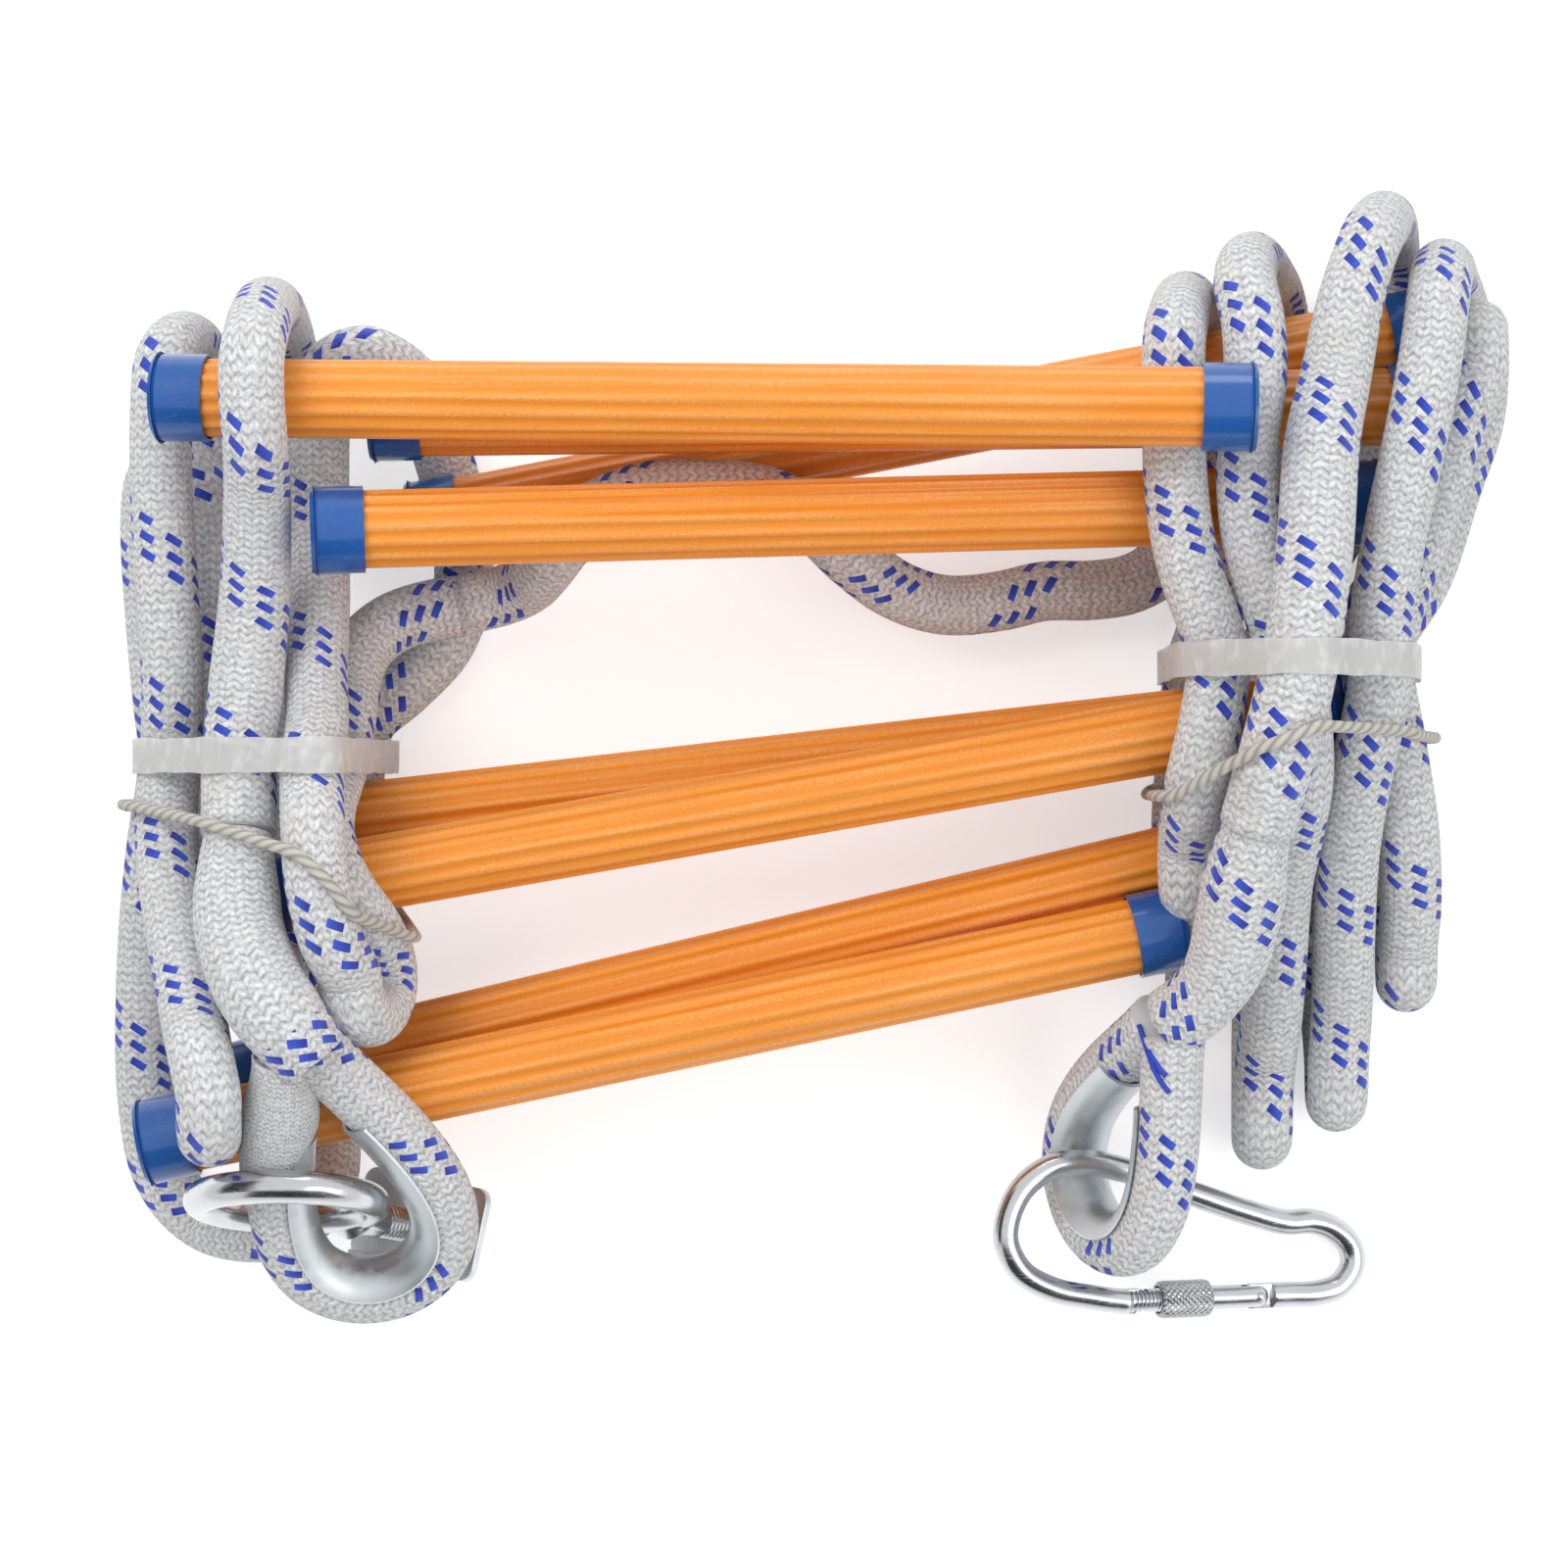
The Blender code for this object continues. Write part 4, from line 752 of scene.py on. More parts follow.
# %% Primitives at their size and place
RUNG_LENGTH = 350.0
RUNG_RADIUS = 13.3
RUNG_INSET = 3.0
RIBS = 14
RIB_DEPTH = 0.9
RUNGS = (
    ((-209.7, 122.8, 97.6), (139.4, 117.1, 121.6)),
    ((-140.9, 118.8, 69.2), (209.1, 122.8, 69.2)),
    ((-129.8, 86.2, 39.2), (213.8, 152.5, 39.2)),
    ((-157.1, 78.0, 100.7), (190.5, 90.1, 62.3)),
    ((-166.7, -21.0, 39.2), (181.0, 18.6, 39.2)),
    ((-173.1, -42.6, 68.4), (171.7, 17.7, 69.6)),
    ((-197.8, -112.6, 39.2), (142.8, -31.8, 39.2)),
    ((-220.0, -129.8, 68.5), (122.6, -59.1, 57.3)),
)


def applied(name):
    """Names the new primitive and moves its place and size into its mesh."""
    thing = bpy.context.object
    thing.name = name
    bpy.ops.object.transform_apply(location=True, rotation=True, scale=True)
    return thing


def cylinder(name, sides, radius, depth, centre=(0, 0, 0), tip=0):
    """A cylinder along Z, or tipped about Y by some degrees."""
    select_only()
    bpy.ops.mesh.primitive_cylinder_add(
        vertices=sides, radius=radius * MM, depth=depth * MM,
        location=[c * MM for c in centre], rotation=(0, math.radians(tip), 0),
    )
    return applied(name)


def block(name, low, high):
    """A box between two opposite corners."""
    low, high = np.array(low, float), np.array(high, float)
    select_only()
    middle, size = (low + high) / 2 * MM, (high - low) * MM
    bpy.ops.mesh.primitive_cube_add(size=1.0, location=tuple(middle), scale=tuple(size))
    return applied(name)


def pick(thing, kind, chosen):
    """In edit mode, selects the faces or edges that pass a test, and nothing else."""
    bpy.ops.mesh.select_all(action="DESELECT")
    shape = bmesh.from_edit_mesh(thing.data)
    for part in getattr(shape, kind):
        part.select_set(chosen(part))
    bmesh.update_edit_mesh(thing.data)


def uv_along(thing):
    """Writes how far round Z and how far along it each corner lies."""
    mesh = thing.data
    while mesh.uv_layers:
        mesh.uv_layers.remove(mesh.uv_layers[0])
    layer = mesh.uv_layers.new(name="along")
    for face in mesh.polygons:
        points = [mesh.vertices[v].co for v in face.vertices]
        turns = [math.atan2(p.y, p.x) / (2 * math.pi) % 1 for p in points]
        if max(turns) - min(turns) > 0.5:
            turns = [t + 1 if t < 0.5 else t for t in turns]
        for loop, point, turn in zip(face.loop_indices, points, turns):
            layer.data[loop].uv = (turn, point.z)


# %% One ribbed rung
rung_model = cylinder("rung_model", RIBS * 12, RUNG_RADIUS, RUNG_LENGTH - 2 * RUNG_INSET)
bisect(rung_model, (0, 0, 0), (0, 0, 1))
for point in rung_model.data.vertices:
    turn = math.atan2(point.co.y, point.co.x) / (2 * math.pi) * RIBS % 1
    depth = RIB_DEPTH / 2 + RIB_DEPTH / 2 * math.cos(2 * math.pi * turn)
    share = (RUNG_RADIUS - depth) / RUNG_RADIUS
    point.co.x *= share
    point.co.y *= share
uv_along(rung_model)
shade(rung_model, 50)
print("rung:", len(rung_model.data.polygons), "faces")

# %% [markdown]
# A cap starts as a cylinder. Its open face is inset by the wall and pushed down to leave
# a cup, and the closed end gets a small bevel and then a rounder one. Its mesh is centred
# on the end of the rung, so half of the cap lies over the rung and half stands past it.

# %% One moulded end cap
CAP_LENGTH = 17.0
CAP_RADIUS = 14.7
CAP_WALL = 0.9
CAP_END = 2.0


def at_closed_end(edge):
    return all(v.co.z < 0.0001 for v in edge.verts)


def at_outer_rim(edge):
    return all(v.co.z < 0.0005 and v.co.xy.length > (CAP_RADIUS - 0.6) * MM for v in edge.verts)


cap_model = cylinder("cap_model", 72, CAP_RADIUS, CAP_LENGTH)
bpy.ops.object.mode_set(mode="EDIT")
pick(cap_model, "faces", lambda face: face.normal.z > 0.9)
bpy.ops.mesh.inset(thickness=CAP_WALL * MM)
push = {"value": (0, 0, -(CAP_LENGTH - CAP_END) * MM)}
bpy.ops.mesh.extrude_region_move(TRANSFORM_OT_translate=push)
pick(cap_model, "edges", at_closed_end)
bpy.ops.mesh.bevel(offset=0.35 * MM, segments=2)
pick(cap_model, "edges", at_outer_rim)
bpy.ops.mesh.bevel(offset=1.3 * MM, segments=4)
bpy.ops.object.mode_set(mode="OBJECT")
shade(cap_model, 40)
print("cap:", len(cap_model.data.polygons), "faces")


# %% Resin and plastic finishes
def resin():
    """Orange resin with slanted glass fibres: painted highlight and glints on the rib crests,
    painted shade and darker streaks in the valleys between them.
    """
    finish = Finish("orange_resin_look", coat_weight=0.25, coat_roughness=0.2)
    around, _, spot = finish.uv()
    crest = 0.5 - (around * (2 * math.pi * RIBS)).cosine() * 0.5
    weave = finish.noise(finish.stretched(spot, (84, 320, 1), turn=0.3), 2.2, 5.0, 0.7)
    streak = finish.noise(finish.stretched(spot, (84, 30, 1)), 0.5, 4.0, 0.6)
    cloud = finish.noise(finish.place(), 26.0, 4.0)
    base = finish.mix(cloud, rgb(238, 142, 32), rgb(248, 158, 48))
    # Painted highlight: pale glints on the glass fibres, strongest on the rib crests.
    glint = ((weave - 0.5) * 5 + (streak - 0.5) * 2 + (crest - 0.4) * 0.5).clipped()
    fibres_and_glints = finish.mix(glint * 0.7, base, rgb(255, 192, 130))
    # Painted shade: deeper colour in the valleys between the ribs, with darker streaks.
    valley_shade_and_streaks = ((1 - crest) * 0.8 + (0.5 - streak) * 2).clipped()
    colour = finish.mix(valley_shade_and_streaks * 0.45, fibres_and_glints, rgb(226, 128, 12))
    return finish.look(colour, 0.3 + weave * 0.25, weave * 0.7 + streak * 0.3, 0.2, 0.6)


def blue_plastic():
    """Glossy blue plastic with a faint orange-peel skin and small scuffs."""
    finish = Finish("blue_plastic_look", coat_weight=0.3)
    spot = finish.place()
    skin_grain = finish.noise(spot, 700.0, 2.0)
    cloud = finish.noise(spot, 60.0, 4.0)
    scuff = ((finish.noise(finish.place((1, 6, 3)), 220.0, 6.0, 0.7) - 0.6) * 7).clipped()
    base = finish.mix(cloud, rgb(20, 76, 150), rgb(34, 98, 176))
    colour = finish.mix(scuff * 0.4, base, rgb(92, 138, 190))
    roughness = 0.2 + cloud * 0.1 + scuff * 0.3
    return finish.look(colour, roughness, skin_grain + scuff * 0.4, 0.06, 0.5)


resin_finish = resin()
cap_finish = blue_plastic()
print("finishes: resin and plastic")


# %% Rungs and caps in their places
def copy_of(model, name, matrix):
    mesh = model.data.copy()
    mesh.name = name
    mesh.transform(matrix)
    return new_object(name, mesh)


for number, ends in enumerate(RUNGS, 1):
    left_end, right_end = np.array(ends)
    axis = (right_end - left_end) / np.linalg.norm(right_end - left_end)
    middle = (left_end + right_end) / 2
    across = np.cross((0, 0, 1), axis)
    upward = np.cross(axis, across)
    rung = copy_of(rung_model, f"rung_{number}_ribbed", frame_at(middle, across, upward))
    dress(rung, "bundle", "orange_resin", resin_finish, f"rung_{number}")
    for side, outward in (("left", -1), ("right", 1)):
        face = middle + axis * outward * RUNG_LENGTH / 2
        place = frame_at(face, across, -outward * upward)
        cap = copy_of(cap_model, f"rung_{number}_{side}_cap_moulded", place)
        dress(cap, "bundle", "blue_plastic", cap_finish, f"rung_{number}_{side}_cap")
bpy.data.objects.remove(rung_model)
bpy.data.objects.remove(cap_model)
print("rungs placed:", len(RUNGS))

# %% [markdown]
# ## Tape and twine
#
# Each hank is held at its waist by a turn of clear tape and a tie of twine, both pulled
# taut. A taut band follows the convex outline of the ropes that it holds, so that
# outline is worked out from the rope lines. The tape wrinkles where it crosses from rope
# to rope, and the twine is three strands laid together.

# %% Taut outlines
TAPE_WIDTH = 12.6
TAPE_THICKNESS = 0.5
TAPE_STEPS = 260
TWINE_RADIUS = 2.0
LEFT_TAPE = 2.2
RIGHT_TAPE = 34.5
LEFT_TIE = (
    (-225, -15), (-205.5, -19), (-186, -24.5), (-166, -30.5),
    (-156, -40.5), (-148, -53), (-141.5, -59.5),
)
RIGHT_TIE = (
    (123.5, -11.5), (129, -7.5), (138, -2), (148, 4), (168, 11.5), (197.5, 13), (207.5, 8.5),
)


def hull(points):
    """The convex outline of points (x, z), counter-clockwise."""
    points = sorted(set(map(tuple, np.round(points, 3))))

    def half(ordered):
        kept = []
        for p in ordered:
            while len(kept) > 1:
                (ax, ay), (bx, by) = kept[-2:]
                if (bx - ax) * (p[1] - ay) - (by - ay) * (p[0] - ax) > 0:
                    break
                kept.pop()
            kept.append(p)
        return kept[:-1]

    return np.array(half(points) + half(points[::-1]))


def wrap_outline(line, radii, tie, reach, clear, lowest):
    """The taut outline, as (x, z), round all rope points near the tie line."""
    tie = np.array(tie)
    near = np.abs(line[:, 1] - np.interp(line[:, 0], tie[:, 0], tie[:, 1])) < reach
    turn = np.linspace(0, 2 * math.pi, 32, endpoint=False)
    wide = (radii[near] + clear)[:, None]
    x = line[near, :1] + wide * np.cos(turn)
    z = np.maximum(line[near, 2:] + wide * np.sin(turn), lowest)
    return hull(np.stack([x.ravel(), z.ravel()], axis=1))


# %% Tape and twine finishes
def tape_look():
    """Thin clear film: milky, with wrinkles across it and bright creases."""
    finish = Finish("clear_tape_look")
    wrinkle = finish.noise(finish.stretched(finish.uv()[2], (3.0, 420, 1)), 0.5, 3.0, 0.5)
    cloud = finish.noise(finish.place(), 45.0, 3.0)
    crease = ((wrinkle - 0.5) * 3).clipped()
    finish.feed("Alpha", 0.52 + crease * 0.16 + cloud * 0.16)
    colour = finish.mix(crease, rgb(222, 222, 219), rgb(244, 244, 242))
    return finish.look(colour, 0.3 + cloud * 0.2, wrinkle, 0.3, 0.5)


def twine_look():
    """Grey-beige twine, three strands laid together, with loose hairs and painted shade in the
    grooves between the strands.
    """
    finish = Finish("grey_twine_look")
    around, run, spot = finish.uv()
    lay = ((around + run * 62) * (3 * math.pi)).sine().size()
    hair = finish.noise(finish.stretched(spot, (14, 900, 1)), 1.5, 4.0, 0.7)
    # Painted shade: the colour darkens in the grooves between the strands and is lighter on their
    # crowns.
    colour = finish.mix(lay * 0.7 + hair * 0.4, rgb(136, 132, 124), rgb(214, 210, 202))
    return finish.look(colour, 0.8 + hair * 0.15, lay + hair * 0.4, 0.5, 0.9)


tape_finish = tape_look()
twine_finish = twine_look()
print("finishes: tape and twine")


# %% Bands and ties in place
def wave(at):
    return 0.5 + 0.5 * np.sin(at)


def band(name, outline, level):
    """A strip of film round an outline, a little narrower where it is pulled."""
    ring = np.vstack([outline, outline[:1]])
    length = along(ring)
    run = np.linspace(0, 1, TAPE_STEPS + 1) * length[-1]
    ring = np.stack([np.interp(run[:-1], length, ring[:, k]) for k in (0, 1)], axis=1)
    way = np.roll(ring, -1, axis=0) - np.roll(ring, 1, axis=0)
    way /= np.linalg.norm(way, axis=1)[:, None]
    at = run[:-1, None]
    across = np.linspace(-0.5, 0.5, 9)
    pinch = 1 - 0.06 * wave(at / 7.3) - 0.05 * wave(at / 3.1 + 1)
    lift = -0.35 * wave(at / 2.6 + across * 5) * (np.abs(across) * 2) ** 2
    x = ring[:, :1] + way[:, 1:] * lift
    z = np.maximum(ring[:, 1:] - way[:, :1] * lift, 0.3)
    points = np.stack([x, level + across * TAPE_WIDTH * pinch, z], axis=2)
    film = skin(name, points, run, round_section=False, joined=True)
    apply_step(film, "SOLIDIFY", thickness=TAPE_THICKNESS * MM, offset=-1)
    shade(film, 50)
    return film


for side, line, radii, tape_at, tie in (
    ("left", left_line, left_radii, LEFT_TAPE, LEFT_TIE),
    ("right", right_line, right_radii, RIGHT_TAPE, RIGHT_TIE),
):
    level = ((-400, tape_at), (400, tape_at))
    outline = wrap_outline(line, radii, level, TAPE_WIDTH / 2 + 7, 1.1, 0.35)
    film = band(f"{side}_tape_film", outline, tape_at)
    ring = wrap_outline(line, radii, tie, TWINE_RADIUS + 5, 0.6 + TWINE_RADIUS, 0.3 + TWINE_RADIUS)
    tie = np.array(tie)
    loop = np.stack([ring[:, 0], np.interp(ring[:, 0], tie[:, 0], tie[:, 1]), ring[:, 1]], axis=1)
    loop = every(np.vstack([loop, loop[:1]]), 3.0)[:-1]
    string = tube(f"{side}_twine_loop", loop, TWINE_RADIUS, 16, closed=True)
    dress(film, "bundle", "clear_tape", tape_finish, f"{side}_tape_band")
    dress(string, "bundle", "grey_twine", twine_finish, f"{side}_twine_tie")
    print(side, "twine", round(along(loop)[-1]), "mm")

# %% [markdown]
# ## Turned pieces and the zinc finish
#
# Shank, washer, gate, rivet and sleeve are all turned on a lathe, so each is a profile
# carried round an axis by a Screw modifier. Bright zinc plate is nearly a mirror: what
# makes it look like zinc is a faint cloudiness, fine scratches and duller worn spots.


# %% Profiles turned about an axis, cut and softened
def turned(name, profile, matrix, steps=64, marks=False):
    """A profile of (radius, height) points, from top to bottom, turned about local Z."""
    edges = [(k, k + 1) for k in range(len(profile) - 1)]
    if profile[0][0] > 0:
        edges.append((len(profile) - 1, 0))
    mesh = bpy.data.meshes.new(name)
    mesh.from_pydata([(radius * MM, 0, height * MM) for radius, height in profile], edges, [])
    thing = new_object(name, mesh)
    merge = {"use_merge_vertices": True, "merge_threshold": 0.00001}
    apply_step(thing, "SCREW", steps=steps, render_steps=steps, **merge)
    if marks:
        uv_along(thing)
    thing.data.transform(matrix)
    finish_mesh(thing, 40)
    return thing


def thread(radius, high, low, pitch, tooth):
    """Profile points of a thread's rings, each tooth as (inset, drop) points."""
    points = []
    while high > low:
        points += [(radius - inset, high - drop) for inset, drop in tooth]
        high -= pitch
    return points


def with_tool(thing, tool, operation):
    """Cuts or joins a tool and removes it."""
    apply_step(thing, "BOOLEAN", operation=operation, solver="EXACT", object=tool)
    bpy.data.objects.remove(tool)


def soften(thing, width, angle):
    """A small bevel on every edge that bends more than this angle."""
    limit = {"limit_method": "ANGLE", "angle_limit": math.radians(angle)}
    apply_step(thing, "BEVEL", width=width * MM, segments=2, **limit)


def bright_zinc(name, knurl=False):
    """Bright zinc plate: cloudy, finely scratched, with a knurl where it is gripped, its grooves
    darkened as painted shade.
    """
    finish = Finish(name, metallic=1.0)
    spot = finish.place()
    cloud = finish.noise(spot, 70.0, 5.0)
    grain = finish.noise(spot, 800.0, 4.0, 0.7)
    scratch = ((finish.noise(finish.place((1, 9, 2)), 160.0, 6.0, 0.75) - 0.57) * 8).clipped()
    tone = finish.mix(cloud, rgb(186, 190, 194), rgb(214, 216, 219))
    height = grain * 0.12 + scratch * 0.15
    depth = 0.1
    if knurl:
        around, run, _ = finish.uv()
        one = ((around * 20 + run * 440).share() * 2 - 1).size()
        two = ((around * 20 - run * 440).share() * 2 - 1).size()
        diamond = one.least(two)
        # Painted shade: the colour darkens in the knurl's grooves.
        tone = finish.mix((1 - diamond * 2.5).clipped() * 0.7, tone, rgb(108, 111, 116))
        height = height * 0.4 + diamond
        depth = 0.5
    colour = finish.mix(scratch * 0.3, tone, rgb(150, 152, 156))
    return finish.look(colour, 0.16 + cloud * 0.12 + scratch * 0.25, height, depth, 0.8)


zinc = bright_zinc("bright_zinc_look")
knurled_zinc = bright_zinc("knurled_zinc_look", knurl=True)
print("finishes: two zincs")

# %% [markdown]
# ## Eye bolt, plate, washer and nut
#
# The left eye carries a steel ring with a threaded shank, which passes through a plate.
# The ring is a torus and the shank a turned profile with its thread as rings, close
# enough to the real pitch to read as a thread. The plate is a box with bevelled corners,
# a bent lip and a hole for the shank.

# %% Frames of the eye bolt
BOLT_AT = (-177.3, -150.6, 81.4)
BOLT_TILT = 51.0
RING_LEAN = 17.0
RING_RADIUS = 29.6
RING_THICKNESS = 5.7
SHANK_END = 81.0
THREAD_RADIUS = 5.9
THREAD_DEPTH = 0.6
THREAD_FROM = 46.0
PLATE_TURN = 15.0
PLATE_AT = 62.0
PLATE_THICKNESS = 3.0
HOLE_RADIUS = 6.6
lean, dip = math.radians(RING_LEAN), math.radians(BOLT_TILT)
shank_way = (math.cos(dip), -math.sin(dip) * math.sin(lean), -math.sin(dip) * math.cos(lean))
ring_normal = Vector((0, math.cos(lean), -math.sin(lean)))
bolt_frame = frame_at(BOLT_AT, shank_way, ring_normal.cross(Vector(shank_way)))
quarter_turn = Matrix.Rotation(math.radians(90), 4, "Y")
shank_frame = bolt_frame @ quarter_turn
print("shank points", [round(v, 2) for v in shank_way])

# %% Ring and threaded shank
select_only()
bpy.ops.mesh.primitive_torus_add(
    major_radius=RING_RADIUS * MM, minor_radius=RING_THICKNESS * MM,
    major_segments=128, minor_segments=32, location=(0, 0, 0),
)
ring = applied("eye_bolt_ring")
ring.data.transform(bolt_frame)
chamfer = SHANK_END - 1.2
profile = [(0, SHANK_END), (4.7, SHANK_END), (THREAD_RADIUS - 0.1, chamfer)]
tooth = ((0, 0.2), (0, 0.5), (THREAD_DEPTH, 1.0), (THREAD_DEPTH, 1.25))
profile += thread(THREAD_RADIUS, chamfer, THREAD_FROM, 1.75, tooth)
profile += [(6.5, 43), (6.5, 36), (7.4, 33), (8.6, 30.5), (5, 28), (0, 28)]
shank = turned("eye_bolt_shank", profile, shank_frame, 48)
finish_mesh(ring, 40)
dress(ring, "bolt", "bright_zinc", zinc, "eye_bolt")
dress(shank, "bolt", "bright_zinc", zinc, "eye_bolt")

# %% Anchor plate with its lip and hole
plate = block("anchor_plate_steel", (PLATE_AT, -32, -15), (PLATE_AT + PLATE_THICKNESS, 31, 18))
bpy.ops.object.mode_set(mode="EDIT")
pick(plate, "edges", lambda edge: abs(edge.verts[0].co.x - edge.verts[1].co.x) > 0.0005)
bpy.ops.mesh.bevel(offset=5.5 * MM, segments=6)
bpy.ops.object.mode_set(mode="OBJECT")
lip = block("lip", (PLATE_AT - 6, -6, -15), (PLATE_AT + PLATE_THICKNESS - 0.5, 25, -12.5))
with_tool(plate, lip, "UNION")
with_tool(plate, cylinder("hole", 48, HOLE_RADIUS, 20, (PLATE_AT, 0, 0), tip=90), "DIFFERENCE")
soften(plate, 0.35, 40)
plate.data.transform(bolt_frame @ Matrix.Rotation(math.radians(PLATE_TURN), 4, "X"))
finish_mesh(plate, 35)
dress(plate, "bolt", "satin_zinc", galvanised_finish, "anchor_plate")

# %% Washer and nut
NUT_WIDTH = 18.0
NUT_HEIGHT = 10
washer_low = PLATE_AT + PLATE_THICKNESS + 0.3
washer_profile = [
    (HOLE_RADIUS, washer_low + 2), (11.2, washer_low + 2), (11.5, washer_low + 1.7),
    (11.5, washer_low + 0.3), (11.2, washer_low), (HOLE_RADIUS, washer_low),
]
washer = turned("bolt_washer_steel", washer_profile, shank_frame)
dress(washer, "bolt", "bright_zinc", zinc, "bolt_washer")
nut_low = washer_low + 2.3
nut_middle = (0, 0, nut_low + NUT_HEIGHT / 2)
nut_corner = NUT_WIDTH / 2 / math.cos(math.pi / 6)
nut = cylinder("bolt_nut_steel", 6, nut_corner, NUT_HEIGHT, nut_middle)
cone_profile = [
    (0, nut_low + 12), (7.6, nut_low + 12), (8.6, nut_low + 10), (11.5, nut_low + 8.4),
    (11.5, nut_low + 1.6), (8.6, nut_low), (7.6, nut_low - 2), (0, nut_low - 2),
]
with_tool(nut, turned("cone", cone_profile, Matrix.Identity(4), 48), "INTERSECT")
with_tool(nut, cylinder("bore", 40, 6.3, 24, nut_middle), "DIFFERENCE")
nut.data.transform(shank_frame)
finish_mesh(nut, 30)
dress(nut, "nut", "bright_zinc", zinc, "bolt_nut")

# %% [markdown]
# ## Screw-gate carabiner
#
# The body is one bent steel wire. It starts at the nose and ends at the hinge of the
# gate, and both ends are milled down to a tongue that fits a slot of the gate. The gate
# is a turned tube with a short thread, and a knurled sleeve screws along it.

# %% Carabiner frames and its body
CARABINER_AT = (107.7, -168.0, 31.4)
CARABINER_TILT = 16.0
PIN_X, PIN_Y = 57.4, -23.9
GATE_NOSE_AT = 7.8
SLEEVE_AT = 28.9
WIRE_RADIUS = 4.6
GATE_RADIUS = 4.3
TONGUE_HALF = 1.5
SLOT_HALF = 1.9
BODY_ROUTE = (
    (11.6, -23.9), (8.2, -23.9), (6.0, -23.9), (-7.4, -21.7), (-20.4, -18.7), (-32.6, -11.7),
    (-38.4, 0.6), (-33.3, 16.1), (-21.5, 24.7), (-7.4, 26.0), (7.5, 22.5), (31.5, 14.0),
    (52.8, 6.6), (68.8, 2.2), (78.8, 2.2), (87.3, -0.6), (93.9, -6.8), (95.1, -14.0),
    (90.0, -21.3), (80.8, -23.9), (68.8, -23.9), (62.7, -23.9), (58.1, -23.9), (53.9, -23.9),
)
slope = math.radians(CARABINER_TILT)
carabiner_frame = frame_at(CARABINER_AT, (math.cos(slope), 0, -math.sin(slope)), (0, 1, 0))


def on_gate_line(x):
    """The carabiner's frame, moved to this place on the gate's middle line."""
    return carabiner_frame @ Matrix.Translation(Vector((x, PIN_Y, 0)) * MM)


wire_line = every(smooth_line(np.array([(x, y, 0.0) for x, y in BODY_ROUTE])), 2.0)
body = tube("carabiner_wire", wire_line, WIRE_RADIUS, 32, lowest=None)
for low_x, high_x in ((PIN_X - 8, PIN_X + 5.6), (GATE_NOSE_AT - 0.4, GATE_NOSE_AT + 11.6)):
    for low_z, high_z in ((TONGUE_HALF, 8), (-8, -TONGUE_HALF)):
        mill = block("mill", (low_x, PIN_Y - 7, low_z), (high_x, PIN_Y + 7, high_z))
        with_tool(body, mill, "DIFFERENCE")
soften(body, 0.25, 45)
body.data.transform(carabiner_frame)
finish_mesh(body, 35)
dress(body, "carabiner", "bright_zinc", zinc, "carabiner_body")

# %% Gate with its thread and slots
gate_length = PIN_X - GATE_NOSE_AT
profile = [(0, gate_length), (GATE_RADIUS - 0.6, gate_length), (GATE_RADIUS, gate_length - 0.6)]
tooth = ((0, 0), (THREAD_DEPTH, 0.5), (THREAD_DEPTH, 0.7), (0, 1.2))
profile += thread(GATE_RADIUS, gate_length - 1.4, gate_length - 11, 1.5, tooth)
for turn in np.radians(range(0, 90, 10)):
    profile.append((GATE_RADIUS * math.cos(turn), -GATE_RADIUS * math.sin(turn)))
profile.append((0, -GATE_RADIUS))
gate_turn = Matrix.Rotation(math.radians(-90), 4, "Y")
gate = turned("carabiner_gate_tube", profile, gate_turn, 48)
for low_x, high_x in ((-6.5, 8), (-gate_length - 4, -gate_length + 7.5)):
    slot = block("slot", (low_x, -8, -SLOT_HALF), (high_x, 8, SLOT_HALF))
    with_tool(gate, slot, "DIFFERENCE")
with_tool(gate, cylinder("pin_hole", 32, 1.6, 20), "DIFFERENCE")
gate.data.transform(on_gate_line(PIN_X))
finish_mesh(gate, 35)
dress(gate, "gate", "bright_zinc", zinc, "carabiner_gate")

# %% Hinge rivet with domed heads
head = [(0, 4.75), (0.7, 4.7), (1.2, 4.5), (1.5, 4.2), (1.3, 4.1)]
foot = [(1.3, -4.1), (1.5, -4.2), (1.2, -4.5), (0.7, -4.7), (0, -4.75)]
rivet = turned("gate_rivet", head + foot, on_gate_line(PIN_X), 32)
dress(rivet, "carabiner", "bright_zinc", zinc, "gate_pin")

# %% Knurled lock sleeve
SLEEVE_LENGTH = 19.3
half = SLEEVE_LENGTH / 2
sleeve_profile = [
    (5.0, half), (5.9, half), (6.5, half - 0.7), (6.5, half - 1.5), (6.75, half - 1.8),
    (6.75, -half + 1.8), (6.5, -half + 1.5), (6.5, -half + 0.7), (5.9, -half), (5.0, -half),
]
sleeve_frame = on_gate_line(SLEEVE_AT) @ quarter_turn
sleeve = turned("lock_sleeve_knurled", sleeve_profile, sleeve_frame, 72, marks=True)
dress(sleeve, "sleeve", "bright_zinc", knurled_zinc, "lock_sleeve")

# %% Solids that stay, with the zinc finish
for node in ("gate_spring", "gate_plunger"):
    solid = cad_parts[node]
    solid.data.materials.clear()
    solid.data.materials.append(zinc)
    print("kept", node)

# %% [markdown]
# ## Floor, backdrop and light
#
# The photograph was taken on white under a soft light from the upper left. The floor is
# pale and takes the shadow. It adds a little white of its own, but only where the camera
# looks, so the page reads white and the metal still has something to show. The world is
# brighter there than as a lamp, for the same reason.

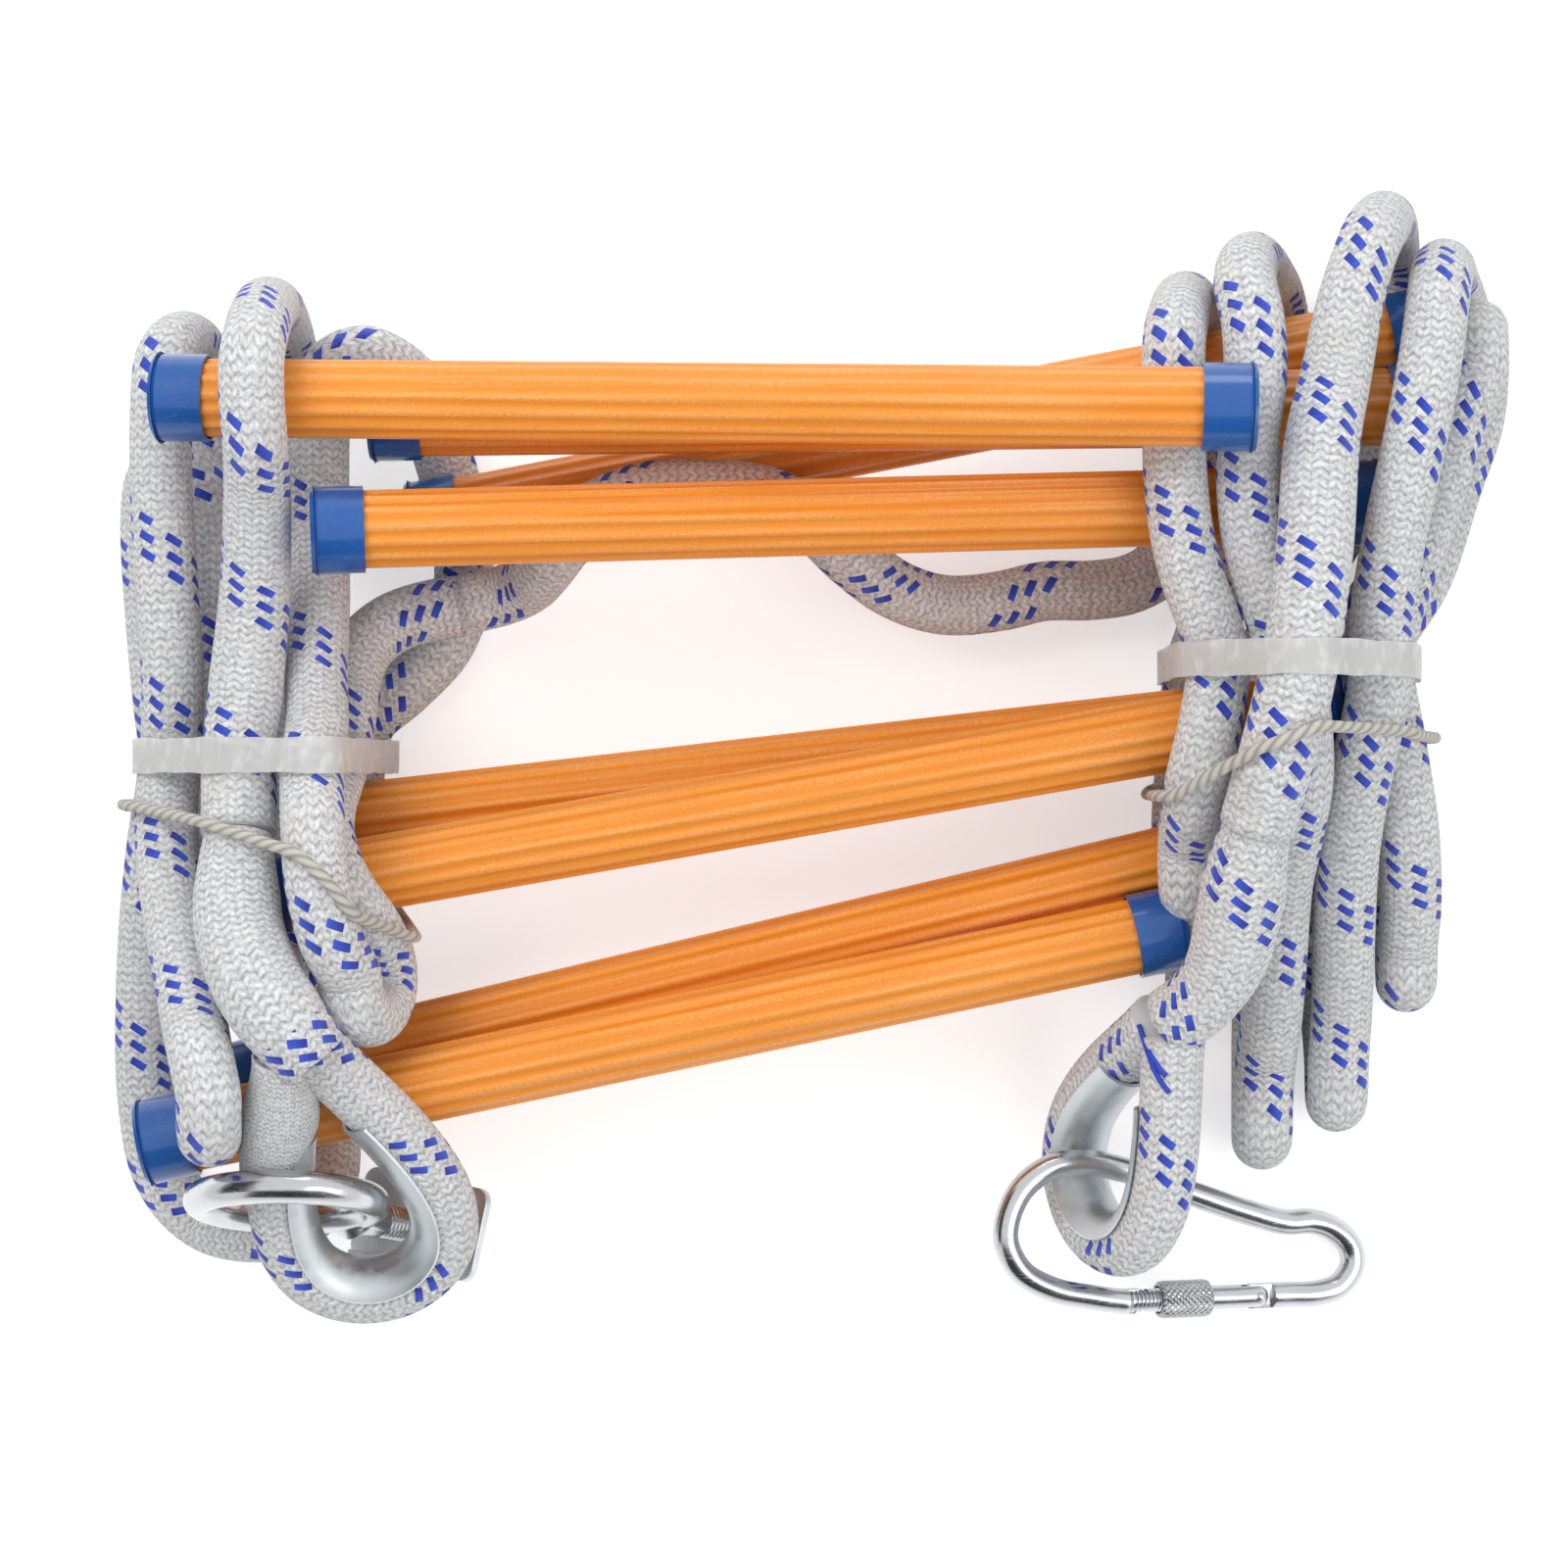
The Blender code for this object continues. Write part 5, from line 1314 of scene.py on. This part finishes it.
# %% Pale floor
FLOOR_GLOW = 0.52
WORLD_LIGHT = 0.56
WORLD_SEEN = 1.0
WHITE = (1, 1, 1, 1)
PALE = (0.82, 0.82, 0.82, 1)
select_only()
bpy.ops.mesh.primitive_plane_add(size=6.0, location=(0, 0, -0.0002))
floor = bpy.context.object
floor.name = "floor"
paper = Finish("paper_floor", roughness=0.9, emission_color=WHITE, base_color=PALE)
paper.feed("Emission Strength", paper.seen_rays() * FLOOR_GLOW)
floor.data.materials.append(paper.material)

# %% World and lamps
world = bpy.data.worlds.new("white_room")
world.use_nodes = True
bpy.context.scene.world = world
sky = Nodes(world.node_tree)
background = sky.tree.nodes["Background"]
levels = {"Value": sky.seen_rays(), "To Min": WORLD_LIGHT, "To Max": WORLD_SEEN}
sky.plug(background.inputs["Color"], WHITE)
sky.plug(background.inputs["Strength"], sky.node("ShaderNodeMapRange", None, levels))


def lamp(name, place, size, power, mirrored=True):
    """A square soft light that faces the bundle; metal shows it only where mirrored."""
    data = bpy.data.lights.new(name, "AREA")
    data.size = size
    data.energy = power
    thing = new_object(name, data)
    thing.location = place
    thing.rotation_euler = (-Vector(place)).to_track_quat("-Z", "Y").to_euler()
    thing.visible_glossy = mirrored


lamp("soft_key", (-0.8, 0.8, 1.5), 1.0, 15.0, mirrored=False)
lamp("fill", (1.1, -0.5, 1.3), 1.2, 9.0)
lamp("low_edge", (0.2, 1.6, 0.6), 0.6, 4.0)
print("lamps: 3")

# %% [markdown]
# Bright metal in a white room has nothing to mirror but white. Two dark cards, which only
# reflections see, put the dark bands on the round steel.

# %% Dark cards
card_look = Finish("dark_card_look", roughness=0.9)
dark = card_look.noise(card_look.place(), 4.0, 2.0)
card_look.feed("Base Color", card_look.mix(dark, rgb(24, 26, 28), rgb(44, 47, 50)))


def dark_card(name, place, width, height):
    """A card that faces the bundle and is seen only in reflections."""
    select_only()
    turn = (-Vector(place)).to_track_quat("Z", "Y").to_euler()
    bpy.ops.mesh.primitive_plane_add(size=1.0, location=place, rotation=turn)
    card = bpy.context.object
    card.name = name
    card.scale = (width, height, 1)
    for kind in ("camera", "diffuse", "shadow", "transmission"):
        setattr(card, f"visible_{kind}", False)
    card.data.materials.append(card_look.material)


dark_card("low_card", (0.1, -0.85, 0.8), 1.8, 1.0)
dark_card("left_card", (-0.95, 0.1, 0.75), 1.4, 0.7)
print("dark cards: 2")
